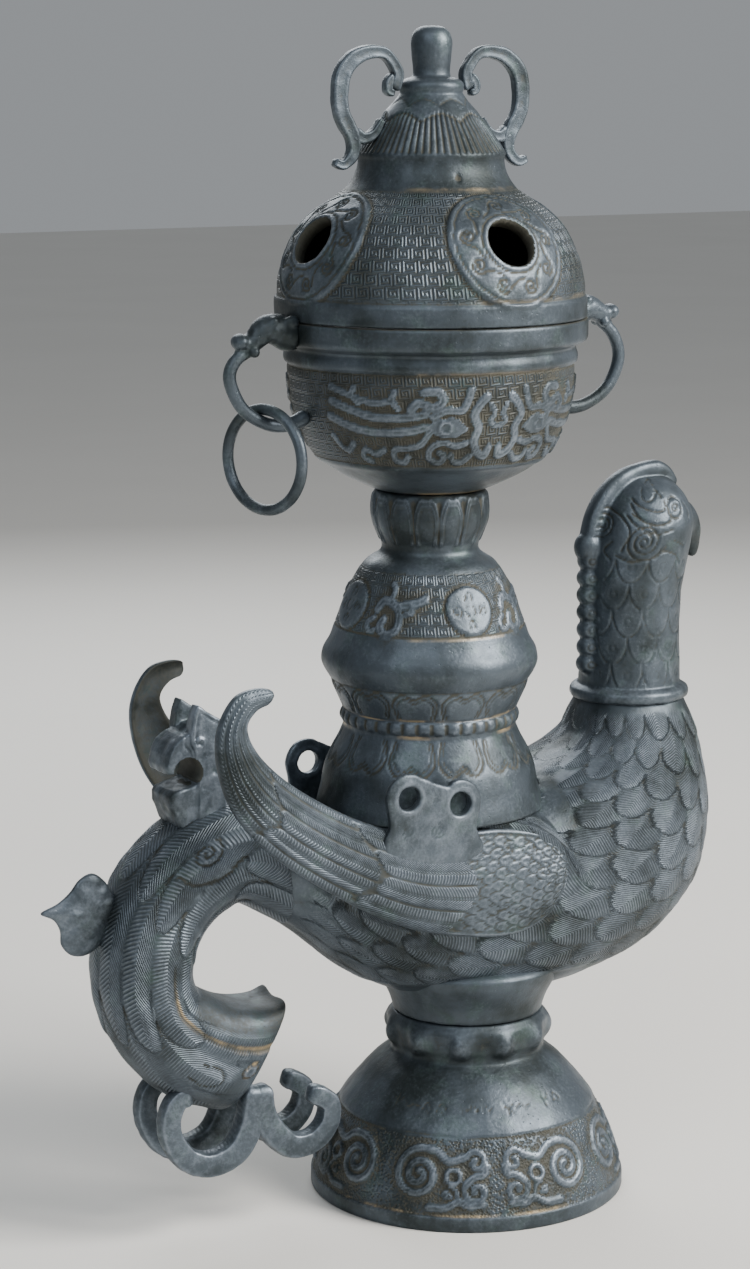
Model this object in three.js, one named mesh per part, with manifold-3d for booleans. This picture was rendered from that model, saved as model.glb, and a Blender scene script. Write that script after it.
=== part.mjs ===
// Bronze incense burner: a long-tailed bird on a bell foot carries a stem, a round bowl and a pierced lid.
// Millimetres, +Z up. The bird looks along +X and its left side is +Y.
// Heights below are counted from the ground, and plan distances from the foot's axis.

import * as THREE from 'three';
import Module from 'manifold-3d';
import { mergeVertices } from 'three/addons/utils/BufferGeometryUtils.js';
import { ParametricGeometry } from 'three/addons/geometries/ParametricGeometry.js';

const wasm = await Module();
wasm.setup();

// Fits between the castings
const GAP = 0.3;

// Foot
const FOOT_RADIUS = 70.5;
const FOOT_HEIGHT = 60;
const FOOT_RIM_HEIGHT = 6;
const FOOT_WALL = 4.5;
const FOOT_NECK_RADIUS = 34;
const COLLAR_RADIUS = 37.2;
const COLLAR_HEIGHT = 21.5;
const KNOB_COUNT = 11;
const KNOB_RELIEF = 4.5;
const SCROLL_COUNT = 8;
const SCROLL_SIZE = 20;
const SCROLL_RELIEF = 1.2;
const SCROLL_LINE = 2.6;

// Bird
const BIRD_LENGTH = 300;
const BIRD_HEIGHT = 150;
const BIRD_WIDTH = 97;
const CONE_RADIUS = 33.6;
const CONE_HEIGHT = 22;
const TAIL_RADIUS = 46.5;
const TAIL_THICKNESS = 46;
const TAIL_WIDTH = 50;
const FEATHER_RELIEF = 0.9;
const LEAF_THICKNESS = 7;
const LEAF_LENGTH = 32;

// Head
const NECK_STUB_RADIUS = 23;
const HOOD_RADIUS = 23.3;
const HOOD_HEIGHT = 102;
const CREST_THICKNESS = 9;
const CREST_SCALLOPS = 7;
const SCALLOP_RADIUS = 4.6;

// Wings
const WING_PLANE = 47.5;
const WING_THICKNESS = 3.4;
const WING_BULGE = 5;
const WING_SKEW_X = 4;
const WING_SKEW_Z = -4;
const LUG_THICKNESS = 4;
const LUG_HOLE_RADIUS = 5.2;
const LUG_HOLE_PITCH = 25;

// Tail fittings
const BEAST_WIDTH = 24;
const BEAST_LENGTH = 28;
const BEAST_HEIGHT = 45;
const BEAST_MOUTH_RADIUS = 6.5;
const CURL_THICKNESS = 11;
const CURL_WIDTH = 9;
const CURL_SPACING = 24;

// Stem
const STEM_X = -20;
const BELL_RADIUS = 50;
const BELL_HEIGHT = 38;
const BEAD_COUNT = 38;
const BEAD_RING_RADIUS = 39.2;
const BEAD_RING_HEIGHT = 6;
const BULB_RADIUS = 47.5;
const BULB_HEIGHT = 71;
const LOTUS_RADIUS = 25.8;
const LOTUS_HEIGHT = 25;
const LOTUS_PETALS = 14;
const BELL_PETALS = 12;
const BULB_MEDALLION_RADIUS = 11;

// Bowl
const BOWL_RADIUS = 67.7;
const BOWL_HEIGHT = 74;
const BOWL_WALL = 3.6;
const RIM_HEIGHT = 9.5;
const HANDLE_LENGTH = 35;
const HANDLE_BAR = 5.6;
const RING_DIAMETER = 48;
const RING_BAR = 5.2;

// Lid
const LID_SETBACK = 0.5;
const LID_RADIUS = BOWL_RADIUS - LID_SETBACK;
const LID_WALL = 3.4;
const DOME_HEIGHT = 55;
const CONE_LIP_RADIUS = 31.9;
const LID_CONE_HEIGHT = 38;
const FLUTE_COUNT = 16;
const FINIAL_RADIUS = 8.7;
const FINIAL_HEIGHT = 29.5;
const MEDALLION_RADIUS = 27;
const MEDALLION_RELIEF = 1;
const SMOKE_HOLE_RADIUS = 11;
const MEDALLION_TURN = 4;
const LID_SCROLL_HEIGHT = 50;
const LID_SCROLL_THICKNESS = 5;

// Heights where one casting ends and the next begins
const NECK_Z = FOOT_HEIGHT + COLLAR_HEIGHT;
const BIRD_Z = NECK_Z + GAP;
const SADDLE_Z = BIRD_Z + BIRD_HEIGHT * 0.633;
const STEM_Z = SADDLE_Z + GAP;
const BEAD_Z = STEM_Z + BELL_HEIGHT;
const BULB_Z = BEAD_Z + BEAD_RING_HEIGHT;
const LOTUS_Z = BULB_Z + BULB_HEIGHT;
const BOWL_Z = LOTUS_Z + LOTUS_HEIGHT + GAP;
const LID_Z = BOWL_Z + BOWL_HEIGHT + GAP;
const LID_CONE_Z = LID_Z + DOME_HEIGHT;
const FINIAL_Z = LID_CONE_Z + LID_CONE_HEIGHT;

// Roundness of the turned pieces
const OUTER_SIDES = 28;
const INNER_SIDES = 16;

// Solids from three.js geometry

// Negative where the faces point inwards, as they do on a surface swept the other way round
function signedVolume(places, corners) {
  const [a, b, c] = [new THREE.Vector3(), new THREE.Vector3(), new THREE.Vector3()];
  let volume = 0;
  for (let i = 0; i < corners.length; i += 3) {
    a.fromBufferAttribute(places, corners[i]);
    b.fromBufferAttribute(places, corners[i + 1]);
    c.fromBufferAttribute(places, corners[i + 2]);
    volume += a.dot(b.cross(c)) / 6;
  }
  return volume;
}

function solidOf(geometry) {
  const bare = geometry.clone();
  bare.deleteAttribute('normal');
  bare.deleteAttribute('uv');
  const merged = mergeVertices(bare, 1e-3);
  const corners = merged.index.array;
  const kept = [];
  for (let i = 0; i < corners.length; i += 3) {
    const [a, b, c] = [corners[i], corners[i + 1], corners[i + 2]];
    if (a !== b && b !== c && c !== a) {
      kept.push(a, b, c);
    }
  }
  const places = merged.attributes.position;
  if (signedVolume(places, kept) < 0) {
    kept.reverse();
  }
  const mesh = new wasm.Mesh({
    numProp: 3,
    vertProperties: Float32Array.from(places.array),
    triVerts: Uint32Array.from(kept),
  });
  return new wasm.Manifold(mesh);
}

function geometryOf(solid) {
  const mesh = solid.getMesh();
  const geometry = new THREE.BufferGeometry();
  geometry.setAttribute('position', new THREE.BufferAttribute(Float32Array.from(mesh.vertProperties), 3));
  geometry.setIndex(new THREE.BufferAttribute(Uint32Array.from(mesh.triVerts), 1));
  return geometry;
}

function join(solids) {
  return solids.reduce((whole, solid) => whole.add(solid));
}

// A turned solid: profile points are [radius, height], and the profile ends on the axis
function turned(profile, x = 0, sides = OUTER_SIDES) {
  const outline = profile.map(([radius, height]) => new THREE.Vector2(radius, height));
  const geometry = new THREE.LatheGeometry(outline, sides);
  geometry.rotateX(Math.PI / 2);
  geometry.translate(x, 0, 0);
  return solidOf(geometry);
}

// A closed surface swept by point(around, along), whose first and last rings close to a point
function swept(point, around, along) {
  const place = (u, v, target) => target.copy(point(u, v));
  return solidOf(new ParametricGeometry(place, around, along));
}

// A smooth line through [x, z] points in the bird's middle plane
function curveThrough(points) {
  return new THREE.CatmullRomCurve3(points.map(([x, z]) => new THREE.Vector3(x, 0, z)), false, 'catmullrom', 0.5);
}

// A round bar along a smooth line, whose half-sizes follow size(v), closed at both ends
function bar(path, size, sides, steps) {
  const across = new THREE.Vector3(0, 1, 0);
  return swept((u, v) => {
    const ending = Math.min(1, steps * Math.min(v, 1 - v));
    const along = THREE.MathUtils.clamp((v * steps - 1) / (steps - 2), 0, 1);
    const centre = path.getPoint(along);
    const normal = path.getTangent(along).cross(across).normalize();
    const angle = 2 * Math.PI * u;
    const { thick, wide } = size(along);
    const out = normal.multiplyScalar(ending * thick / 2 * Math.cos(angle));
    return centre.add(out).add(new THREE.Vector3(0, ending * wide / 2 * Math.sin(angle), 0));
  }, sides, steps);
}

// A flat plate cut to a closed [x, z] outline, centred on the plane y
function plate(outline, thickness, y, holes = []) {
  const shape = new THREE.Shape(outline.map(([x, z]) => new THREE.Vector2(x, z)));
  for (const { x, z, radius } of holes) {
    shape.holes.push(new THREE.Path().absarc(x, z, radius, 0, 2 * Math.PI, true));
  }
  const settings = { depth: thickness, bevelEnabled: false, curveSegments: 6 };
  const geometry = new THREE.ExtrudeGeometry(shape, settings);
  geometry.rotateX(Math.PI / 2);
  geometry.translate(0, y + thickness / 2, 0);
  return solidOf(geometry);
}

function ball(radius, x, y, z, sides = 8) {
  const geometry = new THREE.SphereGeometry(radius, sides, sides - 2);
  geometry.translate(x, y, z);
  return solidOf(geometry);
}

function smooth(edge0, edge1, value) {
  return THREE.MathUtils.smoothstep(value, edge0, edge1);
}

// Foot

function footRadiusAt(z) {
  const share = THREE.MathUtils.clamp(z / FOOT_HEIGHT, 0, 1);
  const crown = FOOT_RADIUS * 0.57;
  return crown + (FOOT_RADIUS - crown) * Math.pow(1 - Math.pow(share, 1.55), 0.8);
}

// A C-scroll laid on the foot's band: a spiral line with its ends rolled up
function footScroll(index) {
  const middle = FOOT_RIM_HEIGHT + SCROLL_SIZE * 0.8;
  const turnEach = 2 * Math.PI / SCROLL_COUNT;
  const lean = index % 2 === 0 ? 1 : -1;
  return join([-1, 1].map((side) => {
    const count = 5;
    const edge = [];
    const back = [];
    for (let i = 0; i <= count; i += 1) {
      const turn = Math.PI * (0.5 + 1.9 * i / count);
      const reach = SCROLL_SIZE * (0.44 - 0.33 * i / count);
      const radii = [reach + SCROLL_LINE / 2, reach - SCROLL_LINE / 2];
      edge.push([radii[0] * Math.cos(turn), radii[0] * Math.sin(turn)]);
      back.push([radii[1] * Math.cos(turn), radii[1] * Math.sin(turn)]);
    }
    const outline = edge.concat(back.reverse()).map(([x, z]) => [side * x * 1.05, z * lean]);
    const ordered = side * lean > 0 ? outline : outline.reverse();
    const shape = new THREE.Shape(ordered.map(([x, z]) => new THREE.Vector2(x, z)));
    const depth = SCROLL_RELIEF + FOOT_WALL / 2;
    const geometry = new THREE.ExtrudeGeometry(shape, { depth, bevelEnabled: false });
    const places = geometry.attributes.position;
    for (let i = 0; i < places.count; i += 1) {
      const z = middle + places.getY(i);
      const offset = places.getX(i) + side * SCROLL_SIZE * 0.52;
      const angle = (index + 0.5) * turnEach + offset / FOOT_RADIUS;
      const radius = footRadiusAt(z) - FOOT_WALL / 2 + places.getZ(i);
      places.setXYZ(i, radius * Math.cos(angle), radius * Math.sin(angle), z);
    }
    return solidOf(geometry);
  }));
}

// The collar on the dome: a waist below and a row of knobs round its top
function knobCollar() {
  return petalBlock([
    [FOOT_NECK_RADIUS + 3, FOOT_HEIGHT - 4, 0],
    [FOOT_NECK_RADIUS, FOOT_HEIGHT + 3, 0],
    [COLLAR_RADIUS, NECK_Z - COLLAR_HEIGHT * 0.56, 1],
    [COLLAR_RADIUS, NECK_Z - COLLAR_HEIGHT * 0.2, 1],
    [FOOT_NECK_RADIUS, NECK_Z, 0],
  ], KNOB_COUNT, KNOB_RELIEF, KNOB_COUNT * 4, 0);
}

function foot() {
  const outer = [[0, 0], [FOOT_RADIUS, 0], [FOOT_RADIUS, FOOT_RIM_HEIGHT]];
  const rows = 3;
  for (let i = 1; i <= rows; i += 1) {
    const z = FOOT_RIM_HEIGHT + (FOOT_HEIGHT - FOOT_RIM_HEIGHT) * i / rows;
    outer.push([footRadiusAt(z), z]);
  }
  outer.push([0, FOOT_HEIGHT]);
  const inside = [[0, -1], [footRadiusAt(0) - FOOT_WALL - 2, -1]];
  const insideRows = 3;
  for (let i = 0; i <= insideRows; i += 1) {
    const z = (FOOT_HEIGHT - FOOT_WALL) * i / insideRows;
    inside.push([footRadiusAt(z + FOOT_WALL * i / insideRows) - FOOT_WALL - 2, z]);
  }
  inside.push([0, FOOT_HEIGHT - FOOT_WALL]);
  const scrolls = [];
  for (let i = 0; i < SCROLL_COUNT; i += 1) {
    scrolls.push(footScroll(i));
  }
  return join([turned(outer), knobCollar(), ...scrolls]).subtract(turned(inside, 0, INNER_SIDES));
}

// Bird

// Places along the bird are shares of its length and height, from the foot's axis and the body's underside
const alongX = (share) => BIRD_LENGTH * share;
const upZ = (share) => BIRD_Z + BIRD_HEIGHT * share;

// The tail is an arc round this centre
const TAIL_X = alongX(-0.38);
const TAIL_Z = upZ(0.27);

function tailSection(degrees) {
  const angle = THREE.MathUtils.degToRad(degrees);
  const half = TAIL_THICKNESS / 2 * (1.04 - 0.17 * Math.abs(Math.cos(angle)));
  const floor = TAIL_RADIUS - half;
  const reach = (radius) => [TAIL_X + radius * Math.cos(angle), TAIL_Z + radius * Math.sin(angle)];
  return { back: reach(TAIL_RADIUS + half), belly: reach(floor), width: TAIL_WIDTH };
}

// Each section runs from the bird's back to its belly and is as wide as stated
const frontSections = [
  { back: [0.21, 0.92], belly: [0.35, 0.92], width: 0.43 },
  { back: [0.2, 0.875], belly: [0.364, 0.875], width: 0.51 },
  { back: [0.182, 0.79], belly: [0.382, 0.74], width: 0.66 },
  { back: [0.128, 0.73], belly: [0.39, 0.54], width: 0.86 },
  { back: [0.035, 0.685], belly: [0.362, 0.32], width: 0.98 },
  { back: [-0.075, 0.655], belly: [0.272, 0.15], width: 1 },
  { back: [-0.167, 0.645], belly: [0.125, 0.055], width: 0.95 },
  { back: [-0.247, 0.655], belly: [-0.05, 0.05], width: 0.8 },
  { back: [-0.31, 0.7], belly: [-0.185, 0.14], width: 0.64 },
  { back: [-0.35, 0.725], belly: [-0.3, 0.315], width: 0.55 },
].map(({ back, belly, width }) => ({
  back: [alongX(back[0]), upZ(back[1])],
  belly: [alongX(belly[0]), upZ(belly[1])],
  width: BIRD_WIDTH * width,
}));

// Past its lowest point the tail opens forward into a scoop, whose floor follows these points
const scoopSections = [
  { turn: 210, floor: [-0.45, 0.19], width: 1 },
  { turn: 224, floor: [-0.415, 0.148], width: 0.96 },
  { turn: 238, floor: [-0.375, 0.121], width: 0.9 },
  { turn: 251, floor: [-0.342, 0.115], width: 0.82 },
  { turn: 261, floor: [-0.322, 0.128], width: 0.74 },
].map(({ turn, floor, width }) => ({
  back: tailSection(turn).back,
  belly: [alongX(floor[0]), upZ(floor[1])],
  width: TAIL_WIDTH * width,
}));

const tailTurns = [96, 118, 140, 162, 184, 200];
const sections = [...frontSections, ...tailTurns.map(tailSection), ...scoopSections];
const backLine = curveThrough(sections.map(({ back }) => back));
const bellyLine = curveThrough(sections.map(({ belly }) => belly));
const widthLine = curveThrough(sections.map(({ width }) => [width, 0]));
const LAST_SECTION = sections.length - 1;
const SCOOP_START = frontSections.length + tailTurns.length - 1;
const FEATHERS_START = 1.4;
const FEATHERS_END = 6.2;

// A point of the body's skin: the section's place along the bird, the angle from its back, and a lift
function bodyPoint(place, angle, lift) {
  const share = place / LAST_SECTION;
  const back = backLine.getPoint(share);
  const belly = bellyLine.getPoint(share);
  const centre = back.clone().add(belly).multiplyScalar(0.5);
  const radial = back.clone().sub(belly).multiplyScalar(0.5);
  const half = widthLine.getPoint(share).x / 2;
  const scoop = smooth(SCOOP_START, LAST_SECTION, place);
  const roundness = 0.86;
  const cos = Math.sign(Math.cos(angle)) * Math.pow(Math.abs(Math.cos(angle)), roundness);
  const sin = Math.sign(Math.sin(angle)) * Math.pow(Math.abs(Math.sin(angle)), roundness);
  const point = centre.clone().addScaledVector(radial, cos);
  point.y = half * sin;
  const outward = point.clone().sub(centre).normalize();
  point.addScaledVector(outward, lift);
  const rim = scoop * 0.45 * Math.max(0, -cos) * sin * sin * (sin > 0 ? 1.5 : 1);
  return point.addScaledVector(radial, -rim);
}

// Rows of overlapping feathers: every row is a raised scalloped edge and the low line just past it
function featherRows() {
  const rows = [];
  const rowCount = 9;
  for (let i = 0; i <= rowCount; i += 1) {
    const place = FEATHERS_START + (FEATHERS_END - FEATHERS_START) * i / rowCount;
    const swap = i % 2 === 0 ? 1 : -1;
    rows.push({ place, lift: FEATHER_RELIEF, wave: 0.14 * swap });
    rows.push({ place: place + 0.09, lift: -FEATHER_RELIEF / 2, wave: 0.14 * swap });
  }
  return rows;
}

function tailRows() {
  const rows = [];
  for (let place = FEATHERS_END + 0.8; place < LAST_SECTION - 0.5; place += 1) {
    rows.push({ place, lift: 0, wave: 0 });
  }
  rows.push({ place: LAST_SECTION, lift: 0, wave: 0 });
  return rows;
}

function birdSkin(grow) {
  const stub = [0, 0.5, 1].map((place) => ({ place, lift: 0, wave: 0 }));
  const rows = [...stub, ...featherRows(), ...tailRows()];
  const around = 20;
  const last = rows.length + 1;
  return swept((u, v) => {
    const row = Math.round(v * last);
    const closed = row === 0 || row === last;
    const { place, lift, wave } = rows[THREE.MathUtils.clamp(row - 1, 0, rows.length - 1)];
    const step = Math.round(u * around);
    const zigzag = step % 2 === 0 ? wave : -wave;
    const groove = place > FEATHERS_END + 1 && place < LAST_SECTION && step % 2 === 0 ? -FEATHER_RELIEF : 0;
    const angle = 2 * Math.PI * step / around;
    if (closed) {
      const top = bodyPoint(place, 0, grow);
      return top.add(bodyPoint(place, Math.PI, grow)).multiplyScalar(0.5);
    }
    return bodyPoint(Math.min(place + zigzag, LAST_SECTION), angle, lift + groove + grow);
  }, around, last);
}

function leafFin() {
  const root = [TAIL_X - TAIL_RADIUS - TAIL_THICKNESS * 0.3, TAIL_Z + TAIL_RADIUS * 0.6];
  const outline = [
    [0, 0.28], [-0.3, 0.3], [-0.5, 0.46], [-0.66, 0.36], [-0.78, 0.2], [-1, 0.05],
    [-0.84, -0.14], [-0.8, -0.4], [-0.62, -0.52], [-0.42, -0.42], [-0.25, -0.3], [0, -0.34],
  ].map(([x, z]) => [root[0] + LEAF_LENGTH * x, root[1] + LEAF_LENGTH * z]);
  return plate(outline, LEAF_THICKNESS, 0);
}

// The smooth cone under the breast that stands on the foot's collar
function birdCone() {
  return turned([
    [0, BIRD_Z],
    [CONE_RADIUS, BIRD_Z],
    [CONE_RADIUS + CONE_HEIGHT * 0.06, BIRD_Z + CONE_HEIGHT * 0.25],
    [CONE_RADIUS + CONE_HEIGHT * 0.3, BIRD_Z + CONE_HEIGHT * 0.7],
    [CONE_RADIUS + CONE_HEIGHT * 0.4, BIRD_Z + CONE_HEIGHT],
    [0, BIRD_Z + CONE_HEIGHT * 1.5],
  ]);
}

function stemSeat() {
  return turned([
    [0, SADDLE_Z],
    [BELL_RADIUS + 1.5, SADDLE_Z],
    [BELL_RADIUS - 3, STEM_Z + BELL_HEIGHT * 0.5],
    [BEAD_RING_RADIUS, BEAD_Z],
    [0, BEAD_Z],
  ], STEM_X);
}

function birdBody() {
  return join([birdSkin(0), birdCone(), leafFin()]).subtract(stemSeat());
}

// Head

const HEAD_X = alongX(0.282);
const HOOD_Z = upZ(0.889);

const hoodSections = [
  { z: 0, x: 0, r: 1.12 },
  { z: 0.022, x: 0, r: 1.17 },
  { z: 0.05, x: 0, r: 1.15 },
  { z: 0.066, x: 0, r: 1.03 },
  { z: 0.3, x: 0, r: 0.98 },
  { z: 0.5, x: 0.02, r: 1 },
  { z: 0.66, x: 0.2, r: 1.05 },
  { z: 0.78, x: 0.42, r: 1.03 },
  { z: 0.88, x: 0.56, r: 0.86 },
  { z: 0.95, x: 0.62, r: 0.6 },
  { z: 0.985, x: 0.64, r: 0.3 },
];

function hoodPoint(u, v) {
  const count = hoodSections.length - 1;
  const step = Math.round(v * (count + 2)) - 1;
  const section = hoodSections[THREE.MathUtils.clamp(step, 0, count)];
  const radius = step < 0 || step > count ? 0 : section.r * HOOD_RADIUS;
  const angle = 2 * Math.PI * u;
  const x = HEAD_X + section.x * HOOD_RADIUS * 0.5 + radius * Math.cos(angle);
  return new THREE.Vector3(x, radius * 0.97 * Math.sin(angle), HOOD_Z + section.z * HOOD_HEIGHT);
}

// The crest rises from a knob behind the head, over the crown, and ends above the brow
function crest() {
  const reach = (x, z) => [HEAD_X + HOOD_RADIUS * x, HOOD_Z + HOOD_HEIGHT * z];
  const path = curveThrough([
    reach(-0.98, 0.68), reach(-0.8, 0.83), reach(-0.42, 0.945), reach(0.12, 1.01), reach(0.78, 1.02), reach(1.14, 0.96),
  ]);
  return bar(path, (v) => ({ thick: 9.5 - 3 * v, wide: CREST_THICKNESS * (1.1 - 0.3 * v) }), 6, 10);
}

function beak() {
  const geometry = new THREE.ConeGeometry(HOOD_RADIUS * 0.42, HOOD_RADIUS, 6);
  geometry.scale(1, 1, 0.8);
  geometry.translate(0, -HOOD_RADIUS / 2, 0);
  geometry.rotateX(Math.PI / 2);
  geometry.rotateY(THREE.MathUtils.degToRad(162));
  geometry.translate(HEAD_X + HOOD_RADIUS * 1.56, 0, HOOD_Z + HOOD_HEIGHT * 0.665);
  return solidOf(geometry);
}

function backScallops() {
  const scallops = [];
  for (let i = 0; i < CREST_SCALLOPS; i += 1) {
    const z = HOOD_Z + HOOD_HEIGHT * (0.17 + 0.46 * i / (CREST_SCALLOPS - 1));
    scallops.push(ball(SCALLOP_RADIUS, HEAD_X - HOOD_RADIUS * 0.98, 0, z, 6));
  }
  return scallops;
}

function headHood() {
  const rows = hoodSections.length + 1;
  const eyes = [-1, 1].map((side) => ball(3.4, HEAD_X + HOOD_RADIUS * 0.98, side * HOOD_RADIUS * 0.72,
    HOOD_Z + HOOD_HEIGHT * 0.79, 6));
  const knob = ball(CREST_THICKNESS * 0.75, HEAD_X - HOOD_RADIUS * 0.98, 0, HOOD_Z + HOOD_HEIGHT * 0.68);
  const whole = join([swept(hoodPoint, 16, rows), crest(), beak(), knob, ...backScallops(), ...eyes]);
  const socket = turned([
    [0, HOOD_Z - 1],
    [NECK_STUB_RADIUS * 1.12, HOOD_Z - 1],
    [NECK_STUB_RADIUS * 1.08, HOOD_Z + 2],
    [NECK_STUB_RADIUS, frontSections[0].back[1] + GAP],
    [0, frontSections[0].back[1] + GAP],
  ], HEAD_X, INNER_SIDES);
  return whole.subtract(socket);
}

// Wings: each outline runs from the round root at the breast back to the upturned tip

const wingX = (share) => alongX(share);
const wingTop = curveThrough([
  [0.077, 0.48], [0.068, 0.535], [0.03, 0.59], [-0.05, 0.622], [-0.16, 0.625], [-0.263, 0.69],
  [-0.36, 0.8], [-0.42, 0.905], [-0.45, 1.01], [-0.435, 1.085], [-0.42, 1.1],
].map(([x, z]) => [wingX(x), upZ(z)]));
const wingBottom = curveThrough([
  [0.077, 0.48], [0.06, 0.37], [0.0, 0.3], [-0.09, 0.308], [-0.2, 0.37], [-0.31, 0.49],
  [-0.41, 0.635], [-0.47, 0.78], [-0.492, 0.945], [-0.472, 1.1], [-0.42, 1.1],
].map(([x, z]) => [wingX(x), upZ(z)]));

const WING_ACROSS_COUNT = 8;
const WING_INNER_COUNT = 2;

function wingShell() {
  const around = WING_ACROSS_COUNT + WING_INNER_COUNT + 2;
  const along = 13;
  return swept((u, v) => {
    const step = Math.round(u * around) % around;
    const outer = step <= WING_ACROSS_COUNT;
    const across = outer ? step / WING_ACROSS_COUNT : 1 - (step - WING_ACROSS_COUNT - 1) / WING_INNER_COUNT;
    const edge = THREE.MathUtils.clamp(across, 0, 1);
    const top = wingTop.getPoint(v);
    const bottom = wingBottom.getPoint(v);
    const point = top.clone().lerp(bottom, edge);
    const ends = Math.min(1, 6 * Math.min(v, 1 - v));
    const bulge = (WING_BULGE + (outer ? 0 : -0.6)) * Math.sin(Math.PI * edge) * Math.sqrt(ends);
    const ridge = outer && step % 2 === 1 && v > 0.3 ? FEATHER_RELIEF / 2 : 0;
    const skin = outer ? ridge * ends : -WING_THICKNESS * ends;
    point.y = -(WING_PLANE + bulge + skin);
    return point;
  }, around, along);
}

function wingLug() {
  const middle = [wingX(-0.155), upZ(0.73)];
  const holes = [-1, 1].map((side) => ({
    x: middle[0] + side * LUG_HOLE_PITCH / 2,
    z: middle[1] - side * 2.5,
    radius: LUG_HOLE_RADIUS,
  }));
  const lobe = LUG_HOLE_RADIUS + 5.5;
  const outline = [[middle[0] - LUG_HOLE_PITCH * 0.9, upZ(0.55)]];
  for (const { x, z } of holes) {
    const from = x < middle[0] ? 190 : 120;
    const to = x < middle[0] ? 60 : -10;
    for (let i = 0; i <= 6; i += 1) {
      const angle = THREE.MathUtils.degToRad(from + (to - from) * i / 6);
      outline.push([x + lobe * Math.cos(angle), z + lobe * Math.sin(angle)]);
    }
  }
  outline.push([middle[0] + LUG_HOLE_PITCH * 0.85, upZ(0.52)]);
  return plate(outline.reverse(), LUG_THICKNESS, -(WING_PLANE + LUG_THICKNESS), holes);
}

function wingRight() {
  return join([wingShell(), wingLug()]);
}

function clearOfBird(solid) {
  return solid.subtract(birdSkin(GAP)).subtract(stemSeat());
}

function largestPiece(solid) {
  const pieces = solid.decompose();
  return pieces.reduce((best, piece) => (piece.volume() > best.volume() ? piece : best));
}

// Beast head on the tail's root

function beastHead() {
  const root = [TAIL_X - TAIL_RADIUS * 0.53, TAIL_Z + TAIL_RADIUS + TAIL_THICKNESS * 0.47];
  const at = (x, z) => [root[0] + BEAST_LENGTH * x, root[1] + BEAST_HEIGHT * z];
  const outline = [
    at(-0.48, -0.2), at(-0.5, 0.04), at(-0.42, 0.16), at(-0.1, 0.2), at(-0.36, 0.42), at(-0.5, 0.42),
    at(-0.46, 0.58), at(-0.26, 0.66), at(-0.14, 0.7), at(-0.1, 0.93), at(0.02, 1), at(0.26, 0.86),
    at(0.5, 0.7), at(0.5, -0.1), at(0.3, -0.3), at(-0.3, -0.4),
  ];
  const skull = plate(outline.reverse(), BEAST_WIDTH, 0);
  const [mouthX, mouthZ] = at(-0.26, 0.32);
  const mouth = new THREE.CylinderGeometry(BEAST_MOUTH_RADIUS, BEAST_MOUTH_RADIUS, BEAST_WIDTH * 2, 10);
  mouth.translate(mouthX, 0, mouthZ);
  const cheeks = [-1, 1].map((side) => {
    const [x, z] = at(0.02, 0.64);
    return ball(BEAST_WIDTH * 0.16, x, side * BEAST_WIDTH * 0.46, z, 6);
  });
  const between = plate([at(-0.3, 0.74), at(-0.3, 1.1), at(0.36, 1.1), at(0.36, 0.74)].reverse(),
    BEAST_WIDTH * 0.42, 0);
  const whole = join([skull, ...cheeks]).subtract(solidOf(mouth)).subtract(between);
  return largestPiece(whole.subtract(birdSkin(GAP)));
}

// Tail curls

function tailCurl(side) {
  const rootX = TAIL_X - 1;
  const rootZ = TAIL_Z - TAIL_RADIUS - TAIL_THICKNESS / 2 + 11;
  const at = (x, z) => [rootX + x, rootZ + z];
  const thick = (v) => ({ thick: CURL_THICKNESS * (1.15 - 0.35 * v), wide: CURL_WIDTH * (1.1 - 0.2 * v) });
  const rearPath = curveThrough([at(2, 2), at(-1, -14), at(-8, -26), at(-20, -30), at(-31, -26), at(-38, -16),
    at(-39, -6), at(-35, 1), at(-28, 2)]);
  const frontPath = curveThrough([at(3, 2), at(6, -14), at(17, -27), at(28, -28), at(36, -22), at(38, -13),
    at(33, -8), at(27, -6)]);
  const pair = join([
    bar(rearPath, thick, 6, 13),
    bar(frontPath, thick, 6, 11),
  ]).translate(0, side * CURL_SPACING / 2, 0);
  return largestPiece(pair.subtract(birdSkin(GAP)));
}

// Stem

// A turned block whose radius swells in petals or knobs
function petalBlock(profile, petals, relief, sides, x = STEM_X) {
  const last = profile.length + 1;
  return swept((u, v) => {
    const row = Math.round(v * last) - 1;
    const [radius, z, share] = profile[THREE.MathUtils.clamp(row, 0, profile.length - 1)];
    const angle = 2 * Math.PI * u;
    const swell = relief * share * (Math.abs(Math.cos(petals * angle / 2)) - 1);
    const reach = row < 0 || row >= profile.length ? 0 : radius + swell;
    return new THREE.Vector3(x + reach * Math.cos(angle), reach * Math.sin(angle), z);
  }, sides, last);
}

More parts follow.
